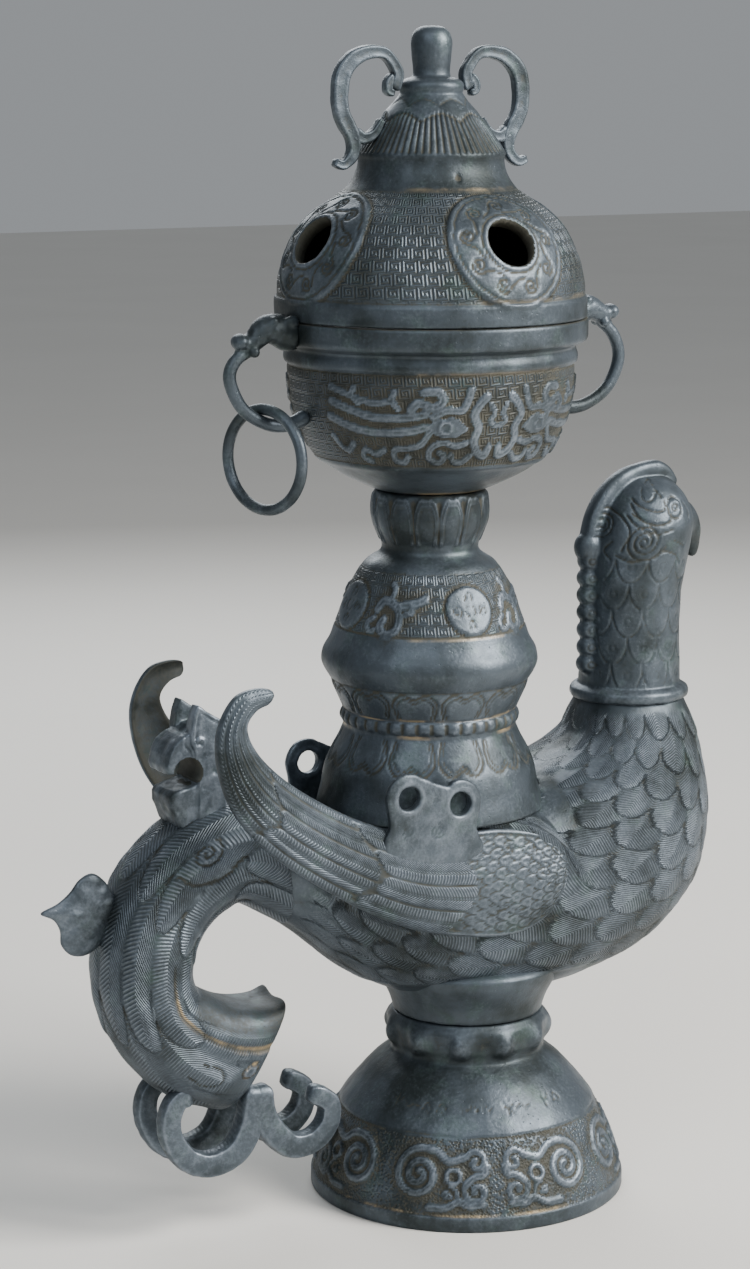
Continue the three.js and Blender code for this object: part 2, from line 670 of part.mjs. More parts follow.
function stem() {
  const bell = petalBlock([
    [BELL_RADIUS, STEM_Z, 0],
    [BELL_RADIUS * 0.955, STEM_Z + BELL_HEIGHT * 0.22, 0],
    [BELL_RADIUS * 0.925, STEM_Z + BELL_HEIGHT * 0.42, 0],
    [BELL_RADIUS * 0.925, STEM_Z + BELL_HEIGHT * 0.46, 1],
    [BELL_RADIUS * 0.84, STEM_Z + BELL_HEIGHT * 0.72, 1],
    [BEAD_RING_RADIUS * 0.96, BEAD_Z, 0],
  ], BELL_PETALS, 1.6, BELL_PETALS * 2);
  const beads = [];
  for (const [reach, z] of [[1, 0.08], [1, 0.94]]) {
    beads.push([BEAD_RING_RADIUS * reach, BEAD_Z + BEAD_RING_HEIGHT * z, 1]);
  }
  const beadRing = petalBlock(beads, BEAD_COUNT, 2, BEAD_COUNT * 2);
  const core = turned([
    [0, BEAD_Z - 2],
    [BEAD_RING_RADIUS * 0.95, BEAD_Z - 1],
    [BEAD_RING_RADIUS * 0.95, BULB_Z + 1],
    [0, BULB_Z + 2],
  ], STEM_X);
  const bulb = petalBlock([
    [BULB_RADIUS * 0.82, BULB_Z, 0],
    [BULB_RADIUS * 0.875, BULB_Z + BULB_HEIGHT * 0.13, 1],
    [BULB_RADIUS * 0.93, BULB_Z + BULB_HEIGHT * 0.22, 0],
    [BULB_RADIUS, BULB_Z + BULB_HEIGHT * 0.35, 0],
    [BULB_RADIUS * 0.93, BULB_Z + BULB_HEIGHT * 0.49, 0],
    [BULB_RADIUS * 0.88, BULB_Z + BULB_HEIGHT * 0.56, 0],
    [BULB_RADIUS * 0.77, BULB_Z + BULB_HEIGHT * 0.75, 0],
    [BULB_RADIUS * 0.62, BULB_Z + BULB_HEIGHT * 0.91, 0],
    [LOTUS_RADIUS * 0.82, LOTUS_Z, 0],
  ], BELL_PETALS, 1.6, BELL_PETALS * 2);
  const lotus = petalBlock([
    [LOTUS_RADIUS * 0.8, LOTUS_Z - 2, 0],
    [LOTUS_RADIUS * 0.82, LOTUS_Z + LOTUS_HEIGHT * 0.08, 0],
    [LOTUS_RADIUS, LOTUS_Z + LOTUS_HEIGHT * 0.55, 1],
    [LOTUS_RADIUS * 0.94, LOTUS_Z + LOTUS_HEIGHT, 1],
  ], LOTUS_PETALS, 2.4, LOTUS_PETALS * 2);
  const medallion = new THREE.CylinderGeometry(BULB_MEDALLION_RADIUS, BULB_MEDALLION_RADIUS, 4, 12);
  medallion.rotateZ(Math.PI / 2);
  medallion.rotateY(THREE.MathUtils.degToRad(-24));
  medallion.translate(BULB_RADIUS * 0.78, 0, BULB_Z + BULB_HEIGHT * 0.67);
  const disc = solidOf(medallion);
  const discs = [0, 1, 2, 3].map((i) => disc.rotate([0, 0, 90 * i]).translate(STEM_X, 0, 0));
  return join([bell, core, beadRing, bulb, lotus, ...discs]);
}

// Bowl

const BOWL_TOP = BOWL_Z + BOWL_HEIGHT;

function bowlOuter(grow = 0) {
  return turned([
    [0, BOWL_Z - grow],
    [LOTUS_RADIUS * 0.96 + grow, BOWL_Z - grow],
    [BOWL_RADIUS * 0.56 + grow, BOWL_Z + BOWL_HEIGHT * 0.08],
    [BOWL_RADIUS * 0.75 + grow, BOWL_Z + BOWL_HEIGHT * 0.2],
    [BOWL_RADIUS * 0.85 + grow, BOWL_Z + BOWL_HEIGHT * 0.35],
    [BOWL_RADIUS * 0.9 + grow, BOWL_Z + BOWL_HEIGHT * 0.5],
    [BOWL_RADIUS * 0.92 + grow, BOWL_TOP - RIM_HEIGHT - 10],
    [BOWL_RADIUS * 0.93 + grow, BOWL_TOP - RIM_HEIGHT - 4],
    [BOWL_RADIUS + grow, BOWL_TOP - RIM_HEIGHT],
    [BOWL_RADIUS + grow, BOWL_TOP + grow],
    [0, BOWL_TOP + grow],
  ], STEM_X);
}

// The band's masks: two ringed eyes with a long body line on either side of each pair
function bowlBand() {
  const pieces = [];
  const masks = 4;
  const eyeTurn = 0.33;
  const z = BOWL_Z + BOWL_HEIGHT * 0.52;
  for (let i = 0; i < masks; i += 1) {
    for (const side of [-1, 1]) {
      const facing = 2 * Math.PI * (i + 0.5) / masks + side * eyeTurn;
      const geometry = new THREE.CylinderGeometry(6, 6.5, 5, 8);
      geometry.rotateZ(-Math.PI / 2);
      geometry.translate(BOWL_RADIUS * 0.91 - 1.2, 0, z);
      pieces.push(solidOf(geometry).rotate([0, 0, THREE.MathUtils.radToDeg(facing)]).translate(STEM_X, 0, 0));
    }
  }
  return pieces;
}

function bowl() {
  const inner = turned([
    [0, BOWL_Z + BOWL_WALL * 1.5],
    [BOWL_RADIUS * 0.5 - BOWL_WALL, BOWL_Z + BOWL_HEIGHT * 0.08 + BOWL_WALL],
    [BOWL_RADIUS * 0.75 - BOWL_WALL, BOWL_Z + BOWL_HEIGHT * 0.24 + BOWL_WALL],
    [BOWL_RADIUS * 0.88 - BOWL_WALL, BOWL_Z + BOWL_HEIGHT * 0.5],
    [BOWL_RADIUS * 0.92 - BOWL_WALL, BOWL_TOP - RIM_HEIGHT],
    [BOWL_RADIUS * 0.93 - BOWL_WALL, BOWL_TOP + 1],
    [0, BOWL_TOP + 1],
  ], STEM_X, INNER_SIDES);
  return join([bowlOuter(), ...bowlBand()]).subtract(inner);
}

// A beast head bites the rim and holds the top of the loop, whose foot meets the wall below
function bowlHandle(side, droop) {
  const wall = BOWL_RADIUS * 0.96;
  const at = (x, z) => [STEM_X + side * (wall + HANDLE_LENGTH * x), BOWL_TOP + HANDLE_LENGTH * z];
  const loop = curveThrough([
    at(0.58, -0.12 - droop), at(0.82, -0.34 - droop / 2), at(0.9, -0.65), at(0.73, -1.0), at(0.4, -1.2),
    at(0.1, -1.22), at(-0.2, -1.1),
  ]);
  const head = curveThrough([
    at(-0.12, -0.1 - droop), at(0.14, -0.04 - droop / 2), at(0.4, 0.02 - droop / 2), at(0.6, -0.06 - droop),
    at(0.76, -0.1 - droop),
  ]);
  const snout = (v) => ({ thick: 12 * (1.05 - 0.45 * v), wide: 13 * (1.05 - 0.3 * v) });
  const [earX, earZ] = at(0.14, 0.1 - droop / 2);
  const ears = [-1, 1].map((ear) => ball(3, earX, ear * 5, earZ, 5));
  const [noseX, noseZ] = at(0.74, -0.1 - droop);
  const nose = ball(HANDLE_BAR * 0.75, noseX, 0, noseZ, 5);
  const loopBar = bar(loop, () => ({ thick: HANDLE_BAR, wide: HANDLE_BAR }), 6, 12);
  const whole = join([bar(head, snout, 6, 6), loopBar, nose, ...ears]);
  return largestPiece(whole.subtract(bowlOuter(GAP)).subtract(lidOuter(GAP)));
}

function looseRing() {
  const radius = (RING_DIAMETER - RING_BAR) / 2;
  const geometry = new THREE.TorusGeometry(radius, RING_BAR / 2, 6, 22);
  geometry.rotateX(Math.PI / 2);
  geometry.rotateZ(THREE.MathUtils.degToRad(-70));
  const x = STEM_X - BOWL_RADIUS * 0.96 - HANDLE_LENGTH * 0.44;
  const z = BOWL_TOP - HANDLE_LENGTH * 1.195 + (HANDLE_BAR + RING_BAR) / 2 + GAP * 3 - radius;
  geometry.translate(x, 0, z);
  return solidOf(geometry);
}

// Lid

function lidOuter(grow = 0) {
  return turned([
    [0, LID_Z - grow],
    [LID_RADIUS + grow, LID_Z - grow],
    [LID_RADIUS + grow, LID_Z + DOME_HEIGHT * 0.14],
    [LID_RADIUS * 0.986 + grow, LID_Z + DOME_HEIGHT * 0.29],
    [LID_RADIUS * 0.953 + grow, LID_Z + DOME_HEIGHT * 0.44],
    [LID_RADIUS * 0.894 + grow, LID_Z + DOME_HEIGHT * 0.6],
    [LID_RADIUS * 0.774 + grow, LID_Z + DOME_HEIGHT * 0.78],
    [LID_RADIUS * 0.65 + grow, LID_Z + DOME_HEIGHT * 0.905],
    [LID_RADIUS * 0.55 + grow, LID_CONE_Z],
    [0, LID_CONE_Z + 4],
  ], STEM_X);
}

function lidCone() {
  const last = 8;
  const profile = [
    [CONE_LIP_RADIUS * 1.15, LID_CONE_Z - 2, 0],
    [CONE_LIP_RADIUS * 1.07, LID_CONE_Z + LID_CONE_HEIGHT * 0.08, 0],
    [CONE_LIP_RADIUS, LID_CONE_Z + LID_CONE_HEIGHT * 0.2, 0],
    [CONE_LIP_RADIUS, LID_CONE_Z + LID_CONE_HEIGHT * 0.37, 0],
    [CONE_LIP_RADIUS * 0.97, LID_CONE_Z + LID_CONE_HEIGHT * 0.42, 1],
    [CONE_LIP_RADIUS * 0.66, LID_CONE_Z + LID_CONE_HEIGHT * 0.78, 1],
    [CONE_LIP_RADIUS * 0.42, FINIAL_Z + 1, 0],
  ];
  return swept((u, v) => {
    const row = Math.round(v * last) - 1;
    const [radius, z, share] = profile[THREE.MathUtils.clamp(row, 0, profile.length - 1)];
    const flute = share * (Math.round(u * FLUTE_COUNT * 2) % 2 === 0 ? 0 : -1.3);
    const reach = row < 0 || row >= profile.length ? 0 : radius + flute;
    const angle = 2 * Math.PI * u;
    return new THREE.Vector3(STEM_X + reach * Math.cos(angle), reach * Math.sin(angle), z);
  }, FLUTE_COUNT * 2, last);
}

function finial() {
  const top = FINIAL_Z + FINIAL_HEIGHT;
  return turned([
    [0, FINIAL_Z],
    [FINIAL_RADIUS * 1.48, FINIAL_Z + FINIAL_HEIGHT * 0.04],
    [FINIAL_RADIUS * 1.56, FINIAL_Z + FINIAL_HEIGHT * 0.13],
    [FINIAL_RADIUS * 1.2, FINIAL_Z + FINIAL_HEIGHT * 0.21],
    [FINIAL_RADIUS * 0.9, FINIAL_Z + FINIAL_HEIGHT * 0.26],
    [FINIAL_RADIUS, FINIAL_Z + FINIAL_HEIGHT * 0.52],
    [FINIAL_RADIUS, FINIAL_Z + FINIAL_HEIGHT * 0.78],
    [FINIAL_RADIUS * 0.76, FINIAL_Z + FINIAL_HEIGHT * 0.95],
    [0, top],
  ], STEM_X, 12);
}

// A round stub that stands square on the dome at one of its four faces
function domeStub(radius, from, to, face, sides) {
  const tilt = THREE.MathUtils.degToRad(32);
  const geometry = new THREE.CylinderGeometry(radius, radius, to - from, sides);
  geometry.rotateZ(-Math.PI / 2);
  geometry.translate((from + to) / 2, 0, 0);
  geometry.rotateY(-tilt);
  const reach = LID_RADIUS * 0.905;
  const setIn = LID_RADIUS * 0.15;
  geometry.translate(reach - Math.cos(tilt) * setIn, 0, LID_Z + DOME_HEIGHT * 0.64 - Math.sin(tilt) * setIn);
  return solidOf(geometry).rotate([0, 0, 90 * face + MEDALLION_TURN]).translate(STEM_X, 0, 0);
}

// The medallions follow the dome: a thicker dome is kept only inside a round stub
function medallions() {
  const raised = lidOuter(MEDALLION_RELIEF);
  return [0, 1, 2, 3].map((face) => raised.intersect(domeStub(MEDALLION_RADIUS, -LID_RADIUS * 0.09, LID_RADIUS * 0.33, face, 14)));
}

function lid() {
  const inner = turned([
    [0, LID_Z - 1],
    [LID_RADIUS - LID_WALL, LID_Z - 1],
    [LID_RADIUS - LID_WALL, LID_Z + DOME_HEIGHT * 0.14],
    [LID_RADIUS * 0.953 - LID_WALL, LID_Z + DOME_HEIGHT * 0.4],
    [LID_RADIUS * 0.774 - LID_WALL, LID_Z + DOME_HEIGHT * 0.72],
    [LID_RADIUS * 0.5 - LID_WALL, LID_CONE_Z - LID_WALL],
    [CONE_LIP_RADIUS - LID_WALL * 1.6, LID_CONE_Z + LID_CONE_HEIGHT * 0.36],
    [CONE_LIP_RADIUS * 0.36, FINIAL_Z - LID_WALL * 2],
    [0, FINIAL_Z - LID_WALL * 2],
  ], STEM_X, INNER_SIDES);
  const holes = [0, 1, 2, 3].map((face) => domeStub(SMOKE_HOLE_RADIUS, -LID_RADIUS * 0.3, LID_RADIUS * 0.45, face, 10));
  const solid = join([lidOuter(), ...medallions(), lidCone(), finial()]).subtract(inner);
  return largestPiece(holes.reduce((rest, hole) => rest.subtract(hole), solid));
}

// A flat scroll from the finial's ring, out and down to the cone's lip
function lidScroll(side) {
  const root = FINIAL_RADIUS * 1.56;
  const foot = LID_CONE_Z + LID_CONE_HEIGHT * 0.1;
  const at = (x, z) => [STEM_X + side * (root + LID_SCROLL_HEIGHT * x), foot + LID_SCROLL_HEIGHT * z];
  const path = curveThrough([
    at(0.075, 0.76), at(0.055, 0.9), at(0.2, 1.06), at(0.425, 1.04), at(0.575, 0.9), at(0.615, 0.72),
    at(0.595, 0.54), at(0.5, 0.36), at(0.49, 0.22), at(0.6, 0.12), at(0.7, 0.12),
  ]);
  const spur = curveThrough([at(0.5, 0.37), at(0.4, 0.34), at(0.28, 0.4), at(0.2, 0.52)]);
  const size = (v) => ({ thick: 4.6 + 3.2 * Math.sin(Math.PI * Math.min(1, v * 1.1)), wide: LID_SCROLL_THICKNESS });
  const spurSize = () => ({ thick: 4.5, wide: LID_SCROLL_THICKNESS });
  const whole = join([bar(path, size, 4, 16), bar(spur, spurSize, 4, 6)]);
  return largestPiece(whole.subtract(lidOuter(GAP)).subtract(lidConeRoom()));
}

// The cone and finial with the fit's gap all round, to clear what is fixed on them
function lidConeRoom() {
  const wide = CONE_LIP_RADIUS + GAP;
  return turned([
    [0, LID_CONE_Z - 4],
    [wide * 1.2, LID_CONE_Z - 4],
    [wide * 1.08, LID_CONE_Z + LID_CONE_HEIGHT * 0.08],
    [wide * 1.01, LID_CONE_Z + LID_CONE_HEIGHT * 0.2],
    [wide * 1.01, LID_CONE_Z + LID_CONE_HEIGHT * 0.4],
    [wide * 0.69, LID_CONE_Z + LID_CONE_HEIGHT * 0.78],
    [FINIAL_RADIUS * 1.5 + GAP * 2, FINIAL_Z],
    [FINIAL_RADIUS * 1.56 + GAP * 2, FINIAL_Z + FINIAL_HEIGHT * 0.14],
    [FINIAL_RADIUS + GAP, FINIAL_Z + FINIAL_HEIGHT * 0.26],
    [FINIAL_RADIUS + GAP, FINIAL_Z + FINIAL_HEIGHT],
    [0, FINIAL_Z + FINIAL_HEIGHT],
  ], STEM_X);
}

// The whole burner

const bronze = { color: 0x4b5560, roughness: 0.48, metalness: 0.85 };
const burner = new THREE.Group();

function add(name, solid) {
  const mesh = new THREE.Mesh(geometryOf(solid), new THREE.MeshStandardMaterial(bronze));
  mesh.name = name;
  burner.add(mesh);
}

const rightWing = largestPiece(clearOfBird(wingRight()));
const leftWing = wingRight().mirror([0, 1, 0]).translate(WING_SKEW_X, 0, WING_SKEW_Z);

add('foot', foot());
add('bird_body', birdBody());
add('head_hood', headHood());
add('wing_right', rightWing);
add('wing_left', largestPiece(clearOfBird(leftWing)));
add('beast_head', beastHead());
add('tail_curl_right', tailCurl(-1));
add('tail_curl_left', tailCurl(1));
add('stem', stem());
add('bowl', bowl());
add('bowl_handle_rear', bowlHandle(-1, 0.16));
add('bowl_handle_front', bowlHandle(1, 0));
add('loose_ring', looseRing());
add('lid', lid());
add('lid_scroll_rear', lidScroll(-1));
add('lid_scroll_front', lidScroll(1));

// The origin is the middle of the underside's bounding box
const box = new THREE.Box3().setFromObject(burner);
burner.position.x = -(box.min.x + box.max.x) / 2;
burner.position.y = -(box.min.y + box.max.y) / 2;

export default burner;
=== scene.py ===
"""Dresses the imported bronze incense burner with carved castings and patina, in metres."""

import logging
import math
from dataclasses import dataclass, field
from enum import Enum

import bpy
import numpy as np
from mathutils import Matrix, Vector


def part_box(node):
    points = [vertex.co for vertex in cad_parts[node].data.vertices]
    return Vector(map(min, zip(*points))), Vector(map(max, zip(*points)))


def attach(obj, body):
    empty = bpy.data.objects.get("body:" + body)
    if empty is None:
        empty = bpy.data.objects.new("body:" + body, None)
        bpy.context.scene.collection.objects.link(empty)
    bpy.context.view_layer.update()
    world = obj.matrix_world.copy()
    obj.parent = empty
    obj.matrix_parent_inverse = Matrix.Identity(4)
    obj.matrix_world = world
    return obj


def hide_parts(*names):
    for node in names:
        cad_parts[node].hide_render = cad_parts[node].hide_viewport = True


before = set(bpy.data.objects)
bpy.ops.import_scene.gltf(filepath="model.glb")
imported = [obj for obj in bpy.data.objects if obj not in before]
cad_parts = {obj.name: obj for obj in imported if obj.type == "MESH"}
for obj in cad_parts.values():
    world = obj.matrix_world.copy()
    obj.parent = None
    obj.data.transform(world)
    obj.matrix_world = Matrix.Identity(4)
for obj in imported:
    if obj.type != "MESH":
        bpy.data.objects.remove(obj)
LOG = logging.getLogger("burner")
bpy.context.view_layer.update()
MM = 0.001
FOOT_X = 500.0 * (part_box("foot")[0].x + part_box("foot")[1].x)
STEM_X = FOOT_X - 20.0
Field = np.ndarray


# Curves and fields

def smooth(low: float, high: float, value: Field) -> Field:
    """Eases from 0 at low to 1 at high.

    Args:
        low: Where the result is 0.
        high: Where it is 1.
        value: The values to ease.

    Returns:
        The eased shares.
    """
    share = np.clip((np.asarray(value, float) - low) / (high - low), 0.0, 1.0)
    return share * share * (3.0 - 2.0 * share)


def curve(points: Field, at: Field) -> Field:
    """Follows a smooth line through points.

    Args:
        points: One row for each point the line goes through.
        at: Shares of the way along, 0 to 1.

    Returns:
        One row for each share.
    """
    points = np.asarray(points, float)
    guide = np.vstack([2 * points[0] - points[1], points, 2 * points[-1] - points[-2]])
    place = np.clip(np.asarray(at, float), 0, 1) * (len(points) - 1)
    start = np.minimum(place.astype(int), len(points) - 2)
    w = (place - start)[..., None]
    a, b, c, d = (guide[start + k] for k in range(4))
    leave, arrive = (c - a) / 2, (d - b) / 2
    return ((2 * w**3 - 3 * w**2 + 1) * b + (w**3 - 2 * w**2 + w) * leave
            + (3 * w**2 - 2 * w**3) * c + (w**3 - w**2) * arrive)


def bend(points: list, steps: int) -> Field:
    """A smooth line through points, at even shares of the way.

    Args:
        points: The places it goes through.
        steps: How many places come back.

    Returns:
        One row for each place.
    """
    return curve(np.array(points), np.linspace(0, 1, steps))


def run(points: list, spacing: float, bent: bool = True) -> Field:
    """Lays points at even spacing along a line.

    Args:
        points: The corners, or the places a bent line goes through.
        spacing: Distance between the points that come back, in millimetres.
        bent: Whether the line is a smooth curve.

    Returns:
        The evenly spaced points.
    """
    points = np.asarray(points, float)
    shares = np.linspace(0, 1, 40 * len(points)) if bent else np.linspace(0, 1, len(points))
    line = curve(points, shares) if bent else points
    length = np.concatenate([[0], np.cumsum(np.linalg.norm(np.diff(line, axis=0), axis=1))])
    wanted = np.linspace(0, length[-1], max(2, int(round(length[-1] / spacing)) + 1))
    return np.stack([np.interp(wanted, length, line[:, k]) for k in range(line.shape[1])], 1)


def profile_of(*runs: Field) -> Field:
    """Joins runs of profile points end to end and drops the doubled ends.

    Args:
        runs: Points across and up, one row each.

    Returns:
        The joined line.
    """
    line = np.vstack(runs)
    keep = np.concatenate([[True], np.linalg.norm(np.diff(line, axis=0), axis=1) > 1e-4])
    return line[keep]


def spiral(x: float, y: float, outer: float, turns: float, start: float, hand: int = 1,
           inner: float = 0.8) -> Field:
    """A spiral line from its outer end inwards.

    Args:
        x: Middle, across.
        y: Middle, upwards.
        outer: Reach at the outer end.
        turns: How many times it goes round.
        start: Direction of the outer end in degrees.
        hand: 1 to turn to the left and -1 to the right.
        inner: Reach at the inner end.

    Returns:
        The line's points.
    """
    share = np.linspace(0, 1, int(22 * turns) + 4)
    angle = math.radians(start) + hand * 2 * math.pi * turns * share
    reach = outer + (inner - outer) * share**0.85
    return np.stack([x + reach * np.cos(angle), y + reach * np.sin(angle)], 1)


def circle(x: float, y: float, radius: float, wide: float = 1.0) -> Field:
    """A closed round or oval line.

    Args:
        x: Middle, across.
        y: Middle, upwards.
        radius: Half its height.
        wide: Its width over its height.

    Returns:
        Its points, the first one repeated at the end.
    """
    angle = np.linspace(0, 2 * math.pi, 25)
    return np.stack([x + radius * wide * np.cos(angle), y + radius * np.sin(angle)], 1)


@dataclass
class Drawing:
    """Relief drawn on a surface laid flat, in millimetres, with raised and engraved parts kept apart."""

    wide: float
    high: float
    step: float = 0.3
    wraps: bool = True
    raised: Field = field(init=False)
    cut: Field = field(init=False)
    worn: Field = field(init=False)

    def __post_init__(self) -> None:
        """Clears the drawing."""
        self.columns = int(round(self.wide / self.step))
        self.rows = int(round(self.high / self.step))
        self.raised, self.cut, self.worn = (np.zeros((self.rows, self.columns)) for _ in range(3))

    def window(self, points: Field, reach: float) -> tuple:
        """Rows, columns and their places around some points.

        Args:
            points: Places on the drawing.
            reach: Room kept around them.

        Returns:
            The rows, the columns and the places of their cells.
        """
        low, high = points.min(0) - reach, points.max(0) + reach
        columns = np.arange(math.floor(low[0] / self.step), math.ceil(high[0] / self.step) + 1)
        rows = np.arange(max(0, math.floor(low[1] / self.step)),
                         min(self.rows, math.ceil(high[1] / self.step) + 1))
        if not self.wraps:
            columns = columns[(columns >= 0) & (columns < self.columns)]
        return rows, columns, *np.meshgrid(columns * self.step, rows * self.step)

    def put(self, layer: Field, rows: Field, columns: Field, value: Field) -> None:
        """Keeps the larger of what is there and the value.

        Args:
            layer: One of the three layers.
            rows: Its rows.
            columns: Its columns.
            value: The new values, one for each cell.
        """
        if len(rows) and len(columns):
            cells = np.ix_(rows, columns % self.columns)
            layer[cells] = np.maximum(layer[cells], value)

    def line(self, points: Field, width: float, lift: float, layer: Field | None = None) -> None:
        """Draws a rounded ribbon, raised for a positive lift and engraved for a negative one.

        Args:
            points: The places it goes through.
            width: Width of the ribbon, in millimetres.
            lift: Its height, negative to engrave.
            layer: Another layer to draw on.
        """
        points = np.asarray(points, float)
        layer = (self.raised if lift > 0 else self.cut) if layer is None else layer
        for a, b in zip(points[:-1], points[1:]):
            rows, columns, x, y = self.window(np.stack([a, b]), width)
            along = b - a
            share = np.clip(((x - a[0]) * along[0] + (y - a[1]) * along[1]) / max(along @ along, 1e-9), 0, 1)
            away = np.hypot(x - a[0] - share * along[0], y - a[1] - share * along[1]) / (width / 2)
            self.put(layer, rows, columns, abs(lift) * np.clip(1.5 * (1 - away**2), 0, 1))

    def area(self, outline: Field, lift: float, edge: float = 0.7) -> None:
        """Raises or sinks what is inside a closed outline, with a sloped edge.

        Args:
            outline: The closed line around it.
            lift: Its height, negative to sink it.
            edge: Width of the slope.
        """
        outline = np.asarray(outline, float)
        rows, columns, x, y = self.window(outline, edge)
        inside, away = np.zeros(x.shape, bool), np.full(x.shape, 1e9)
        for a, b in zip(outline, np.roll(outline, -1, 0)):
            along = b - a
            share = np.clip(((x - a[0]) * along[0] + (y - a[1]) * along[1]) / max(along @ along, 1e-9), 0, 1)
            away = np.minimum(away, np.hypot(x - a[0] - share * along[0], y - a[1] - share * along[1]))
            inside ^= ((a[1] > y) != (b[1] > y)) & (x < along[0] * (y - a[1]) / (along[1] or 1e-9) + a[0])
        value = abs(lift) * np.clip(0.5 + np.where(inside, away, -away) / edge, 0, 1)
        self.put(self.raised if lift > 0 else self.cut, rows, columns, value)

    def brass(self, points: Field, width: float) -> None:
        """Marks a line where rubbing has bared the metal.

        Args:
            points: The places it goes through.
            width: Its width, in millimetres.
        """
        self.line(points, width, 1.0, self.worn)

    def read(self, x: Field, y: Field, layer: Field) -> Field:
        """The layer's value at places, blended between cells.

        Args:
            x: Places across.
            y: Places upwards.
            layer: The layer to read.

        Returns:
            The values there.
        """
        column, row = x / self.step, np.clip(y / self.step, 0, self.rows - 1.001)
        if not self.wraps:
            column = np.clip(column, 0, self.columns - 1.001)
        c0, r0 = np.floor(column).astype(int), np.floor(row).astype(int)
        fc, fr = column - c0, row - r0
        c0, c1, r1 = c0 % self.columns, (c0 + 1) % self.columns, np.minimum(r0 + 1, self.rows - 1)
        return ((layer[r0, c0] * (1 - fc) + layer[r0, c1] * fc) * (1 - fr)
                + (layer[r1, c0] * (1 - fc) + layer[r1, c1] * fc) * fr)

    def relief(self, x: Field, y: Field) -> Field:
        """Raised less engraved at places.

        Args:
            x: Places across.
            y: Places upwards.

        Returns:
            The lift in millimetres.
        """
        return self.read(x, y, self.raised) - self.read(x, y, self.cut)


@dataclass(frozen=True)
class Plumage:
    """Overlapping feathers in rows; each row lies over the next one down."""

    pitch: float
    count: float
    reach: float = 1.8
    round_from: float = 0.5
    relief: float = 0.9
    barb: float = 1.1
    staggered: bool = True

    def lay(self, along: Field, share: Field, width: float) -> tuple[Field, Field, Field]:
        """Works out the feathers on a surface, averaged over each cell of a grid so that edges run smooth.

        Args:
            along: Distance from the first row, in millimetres.
            share: Share of the way round, 0 to 1.
            width: Width of the surface that the shares cover, in millimetres.

        Returns:
            The lift, the barb lines' phase and the barbs' strength.
        """
        lift, phase, strength = self.sample(along, share, width)
        if np.ndim(along) == 2:
            steps = [(np.gradient(along, axis=k), np.gradient(share, axis=k)) for k in (0, 1)]
            spots = [(a, b) for a in (-0.33, 0.33) for b in (-0.33, 0.33)]
            cells = [self.sample(along + a * steps[0][0] + b * steps[1][0],
                                 share + a * steps[0][1] + b * steps[1][1], width)
                     for a, b in spots]
            lift = (blurred(sum(cell[0] for cell in cells) / 4, 1) * 0.6
                    + sum(cell[0] for cell in cells) / 4 * 0.4)
            strength = blurred(sum(cell[2] for cell in cells) / 4, 1)
            lift[:, -1], strength[:, -1] = lift[:, 0], strength[:, 0]
        return lift, phase, strength

    def sample(self, along: Field, share: Field, width: float) -> tuple[Field, Field, Field]:
        """Works out the feathers at places on a surface.

        Args:
            along: Distance from the first row, in millimetres.
            share: Share of the way round, 0 to 1.
            width: Width of the surface that the shares cover, in millimetres.

        Returns:
            The lift, the barb lines' phase and the barbs' strength.
        """
        row_at, across = along / self.pitch, share * self.count
        wide = width / self.count
        lift, phase, strength = (np.zeros(np.shape(along)) for _ in range(3))
        taken = np.zeros(np.shape(along), bool)
        groove = np.zeros(np.shape(along))
        newest = np.floor(row_at)
        for back in range(int(math.ceil(self.reach)), -1, -1):
            row = newest - back
            shifted = across + (0.5 * (row % 2) if self.staggered else 0.0)
            x = shifted - np.floor(shifted) - 0.5
            y = (row_at - row) / self.reach
            tip = np.clip((y - self.round_from) / (1 - self.round_from), 0, 1)
            half = 0.5 * np.sqrt(1 - tip**2)
            inside = (y < 1) & (np.abs(x) < half) if back else np.ones_like(taken)
            gap = np.maximum(np.abs(x) - half, 0) * wide + np.maximum(y - 1, 0) * self.pitch * self.reach
            fresh = inside & ~taken
            rim = (half - np.abs(x)) * wide
            shaft = (np.exp(-(((x - 0.06) * wide) / 0.55) ** 2) * smooth(0.1, 0.2, y)
                     * (1 - smooth(0.6, 0.75, y)))
            body = 0.25 + 0.75 * y + 0.35 * shaft - 0.3 * np.exp(-((rim - 0.9) / 0.5) ** 2)
            lift = np.where(fresh, body, lift)
            phase = np.where(fresh, (y * self.pitch * self.reach - 0.75 * np.abs(x) * wide) / self.barb,
                             phase)
            strength = np.where(fresh, smooth(0.7, 1.6, rim) * (1 - shaft), strength)
            if back:
                groove = np.maximum(groove, np.where(~taken & ~inside, np.exp(-((gap / 0.7) ** 2)), 0))
            taken |= inside
        return self.relief * (lift - 0.75 * groove), phase, strength


def blurred(values: Field, reach: int) -> Field:
    """The values averaged over their neighbours, wrapped round the columns.

    Args:
        values: A grid of values.
        reach: How many cells to either side are taken in.

    Returns:
        The softened grid.
    """
    for _ in range(2):
        values = sum(np.roll(values, k, 1) for k in range(-reach, reach + 1)) / (2 * reach + 1)
        padded = np.pad(values, ((reach, reach), (0, 0)), mode="edge")
        values = sum(padded[k:k + values.shape[0]] for k in range(2 * reach + 1)) / (2 * reach + 1)
    return values


def tone_of(lift: Field, depth: float, reach: int = 3) -> Field:
    """How exposed each place is, 0 in a recess and 1 on a proud edge; the patina paints shade where it is low
    and a highlight where it is high.

    Args:
        lift: The relief on a grid.
        depth: Its full depth.
        reach: Cells that count as nearby.

    Returns:
        The exposure at each cell.
    """
    local = (lift - blurred(lift, reach)) / depth
    return np.clip(0.5 + 0.05 * lift / depth + np.where(local > 0, 0.5, 1.1) * local, 0, 0.78)


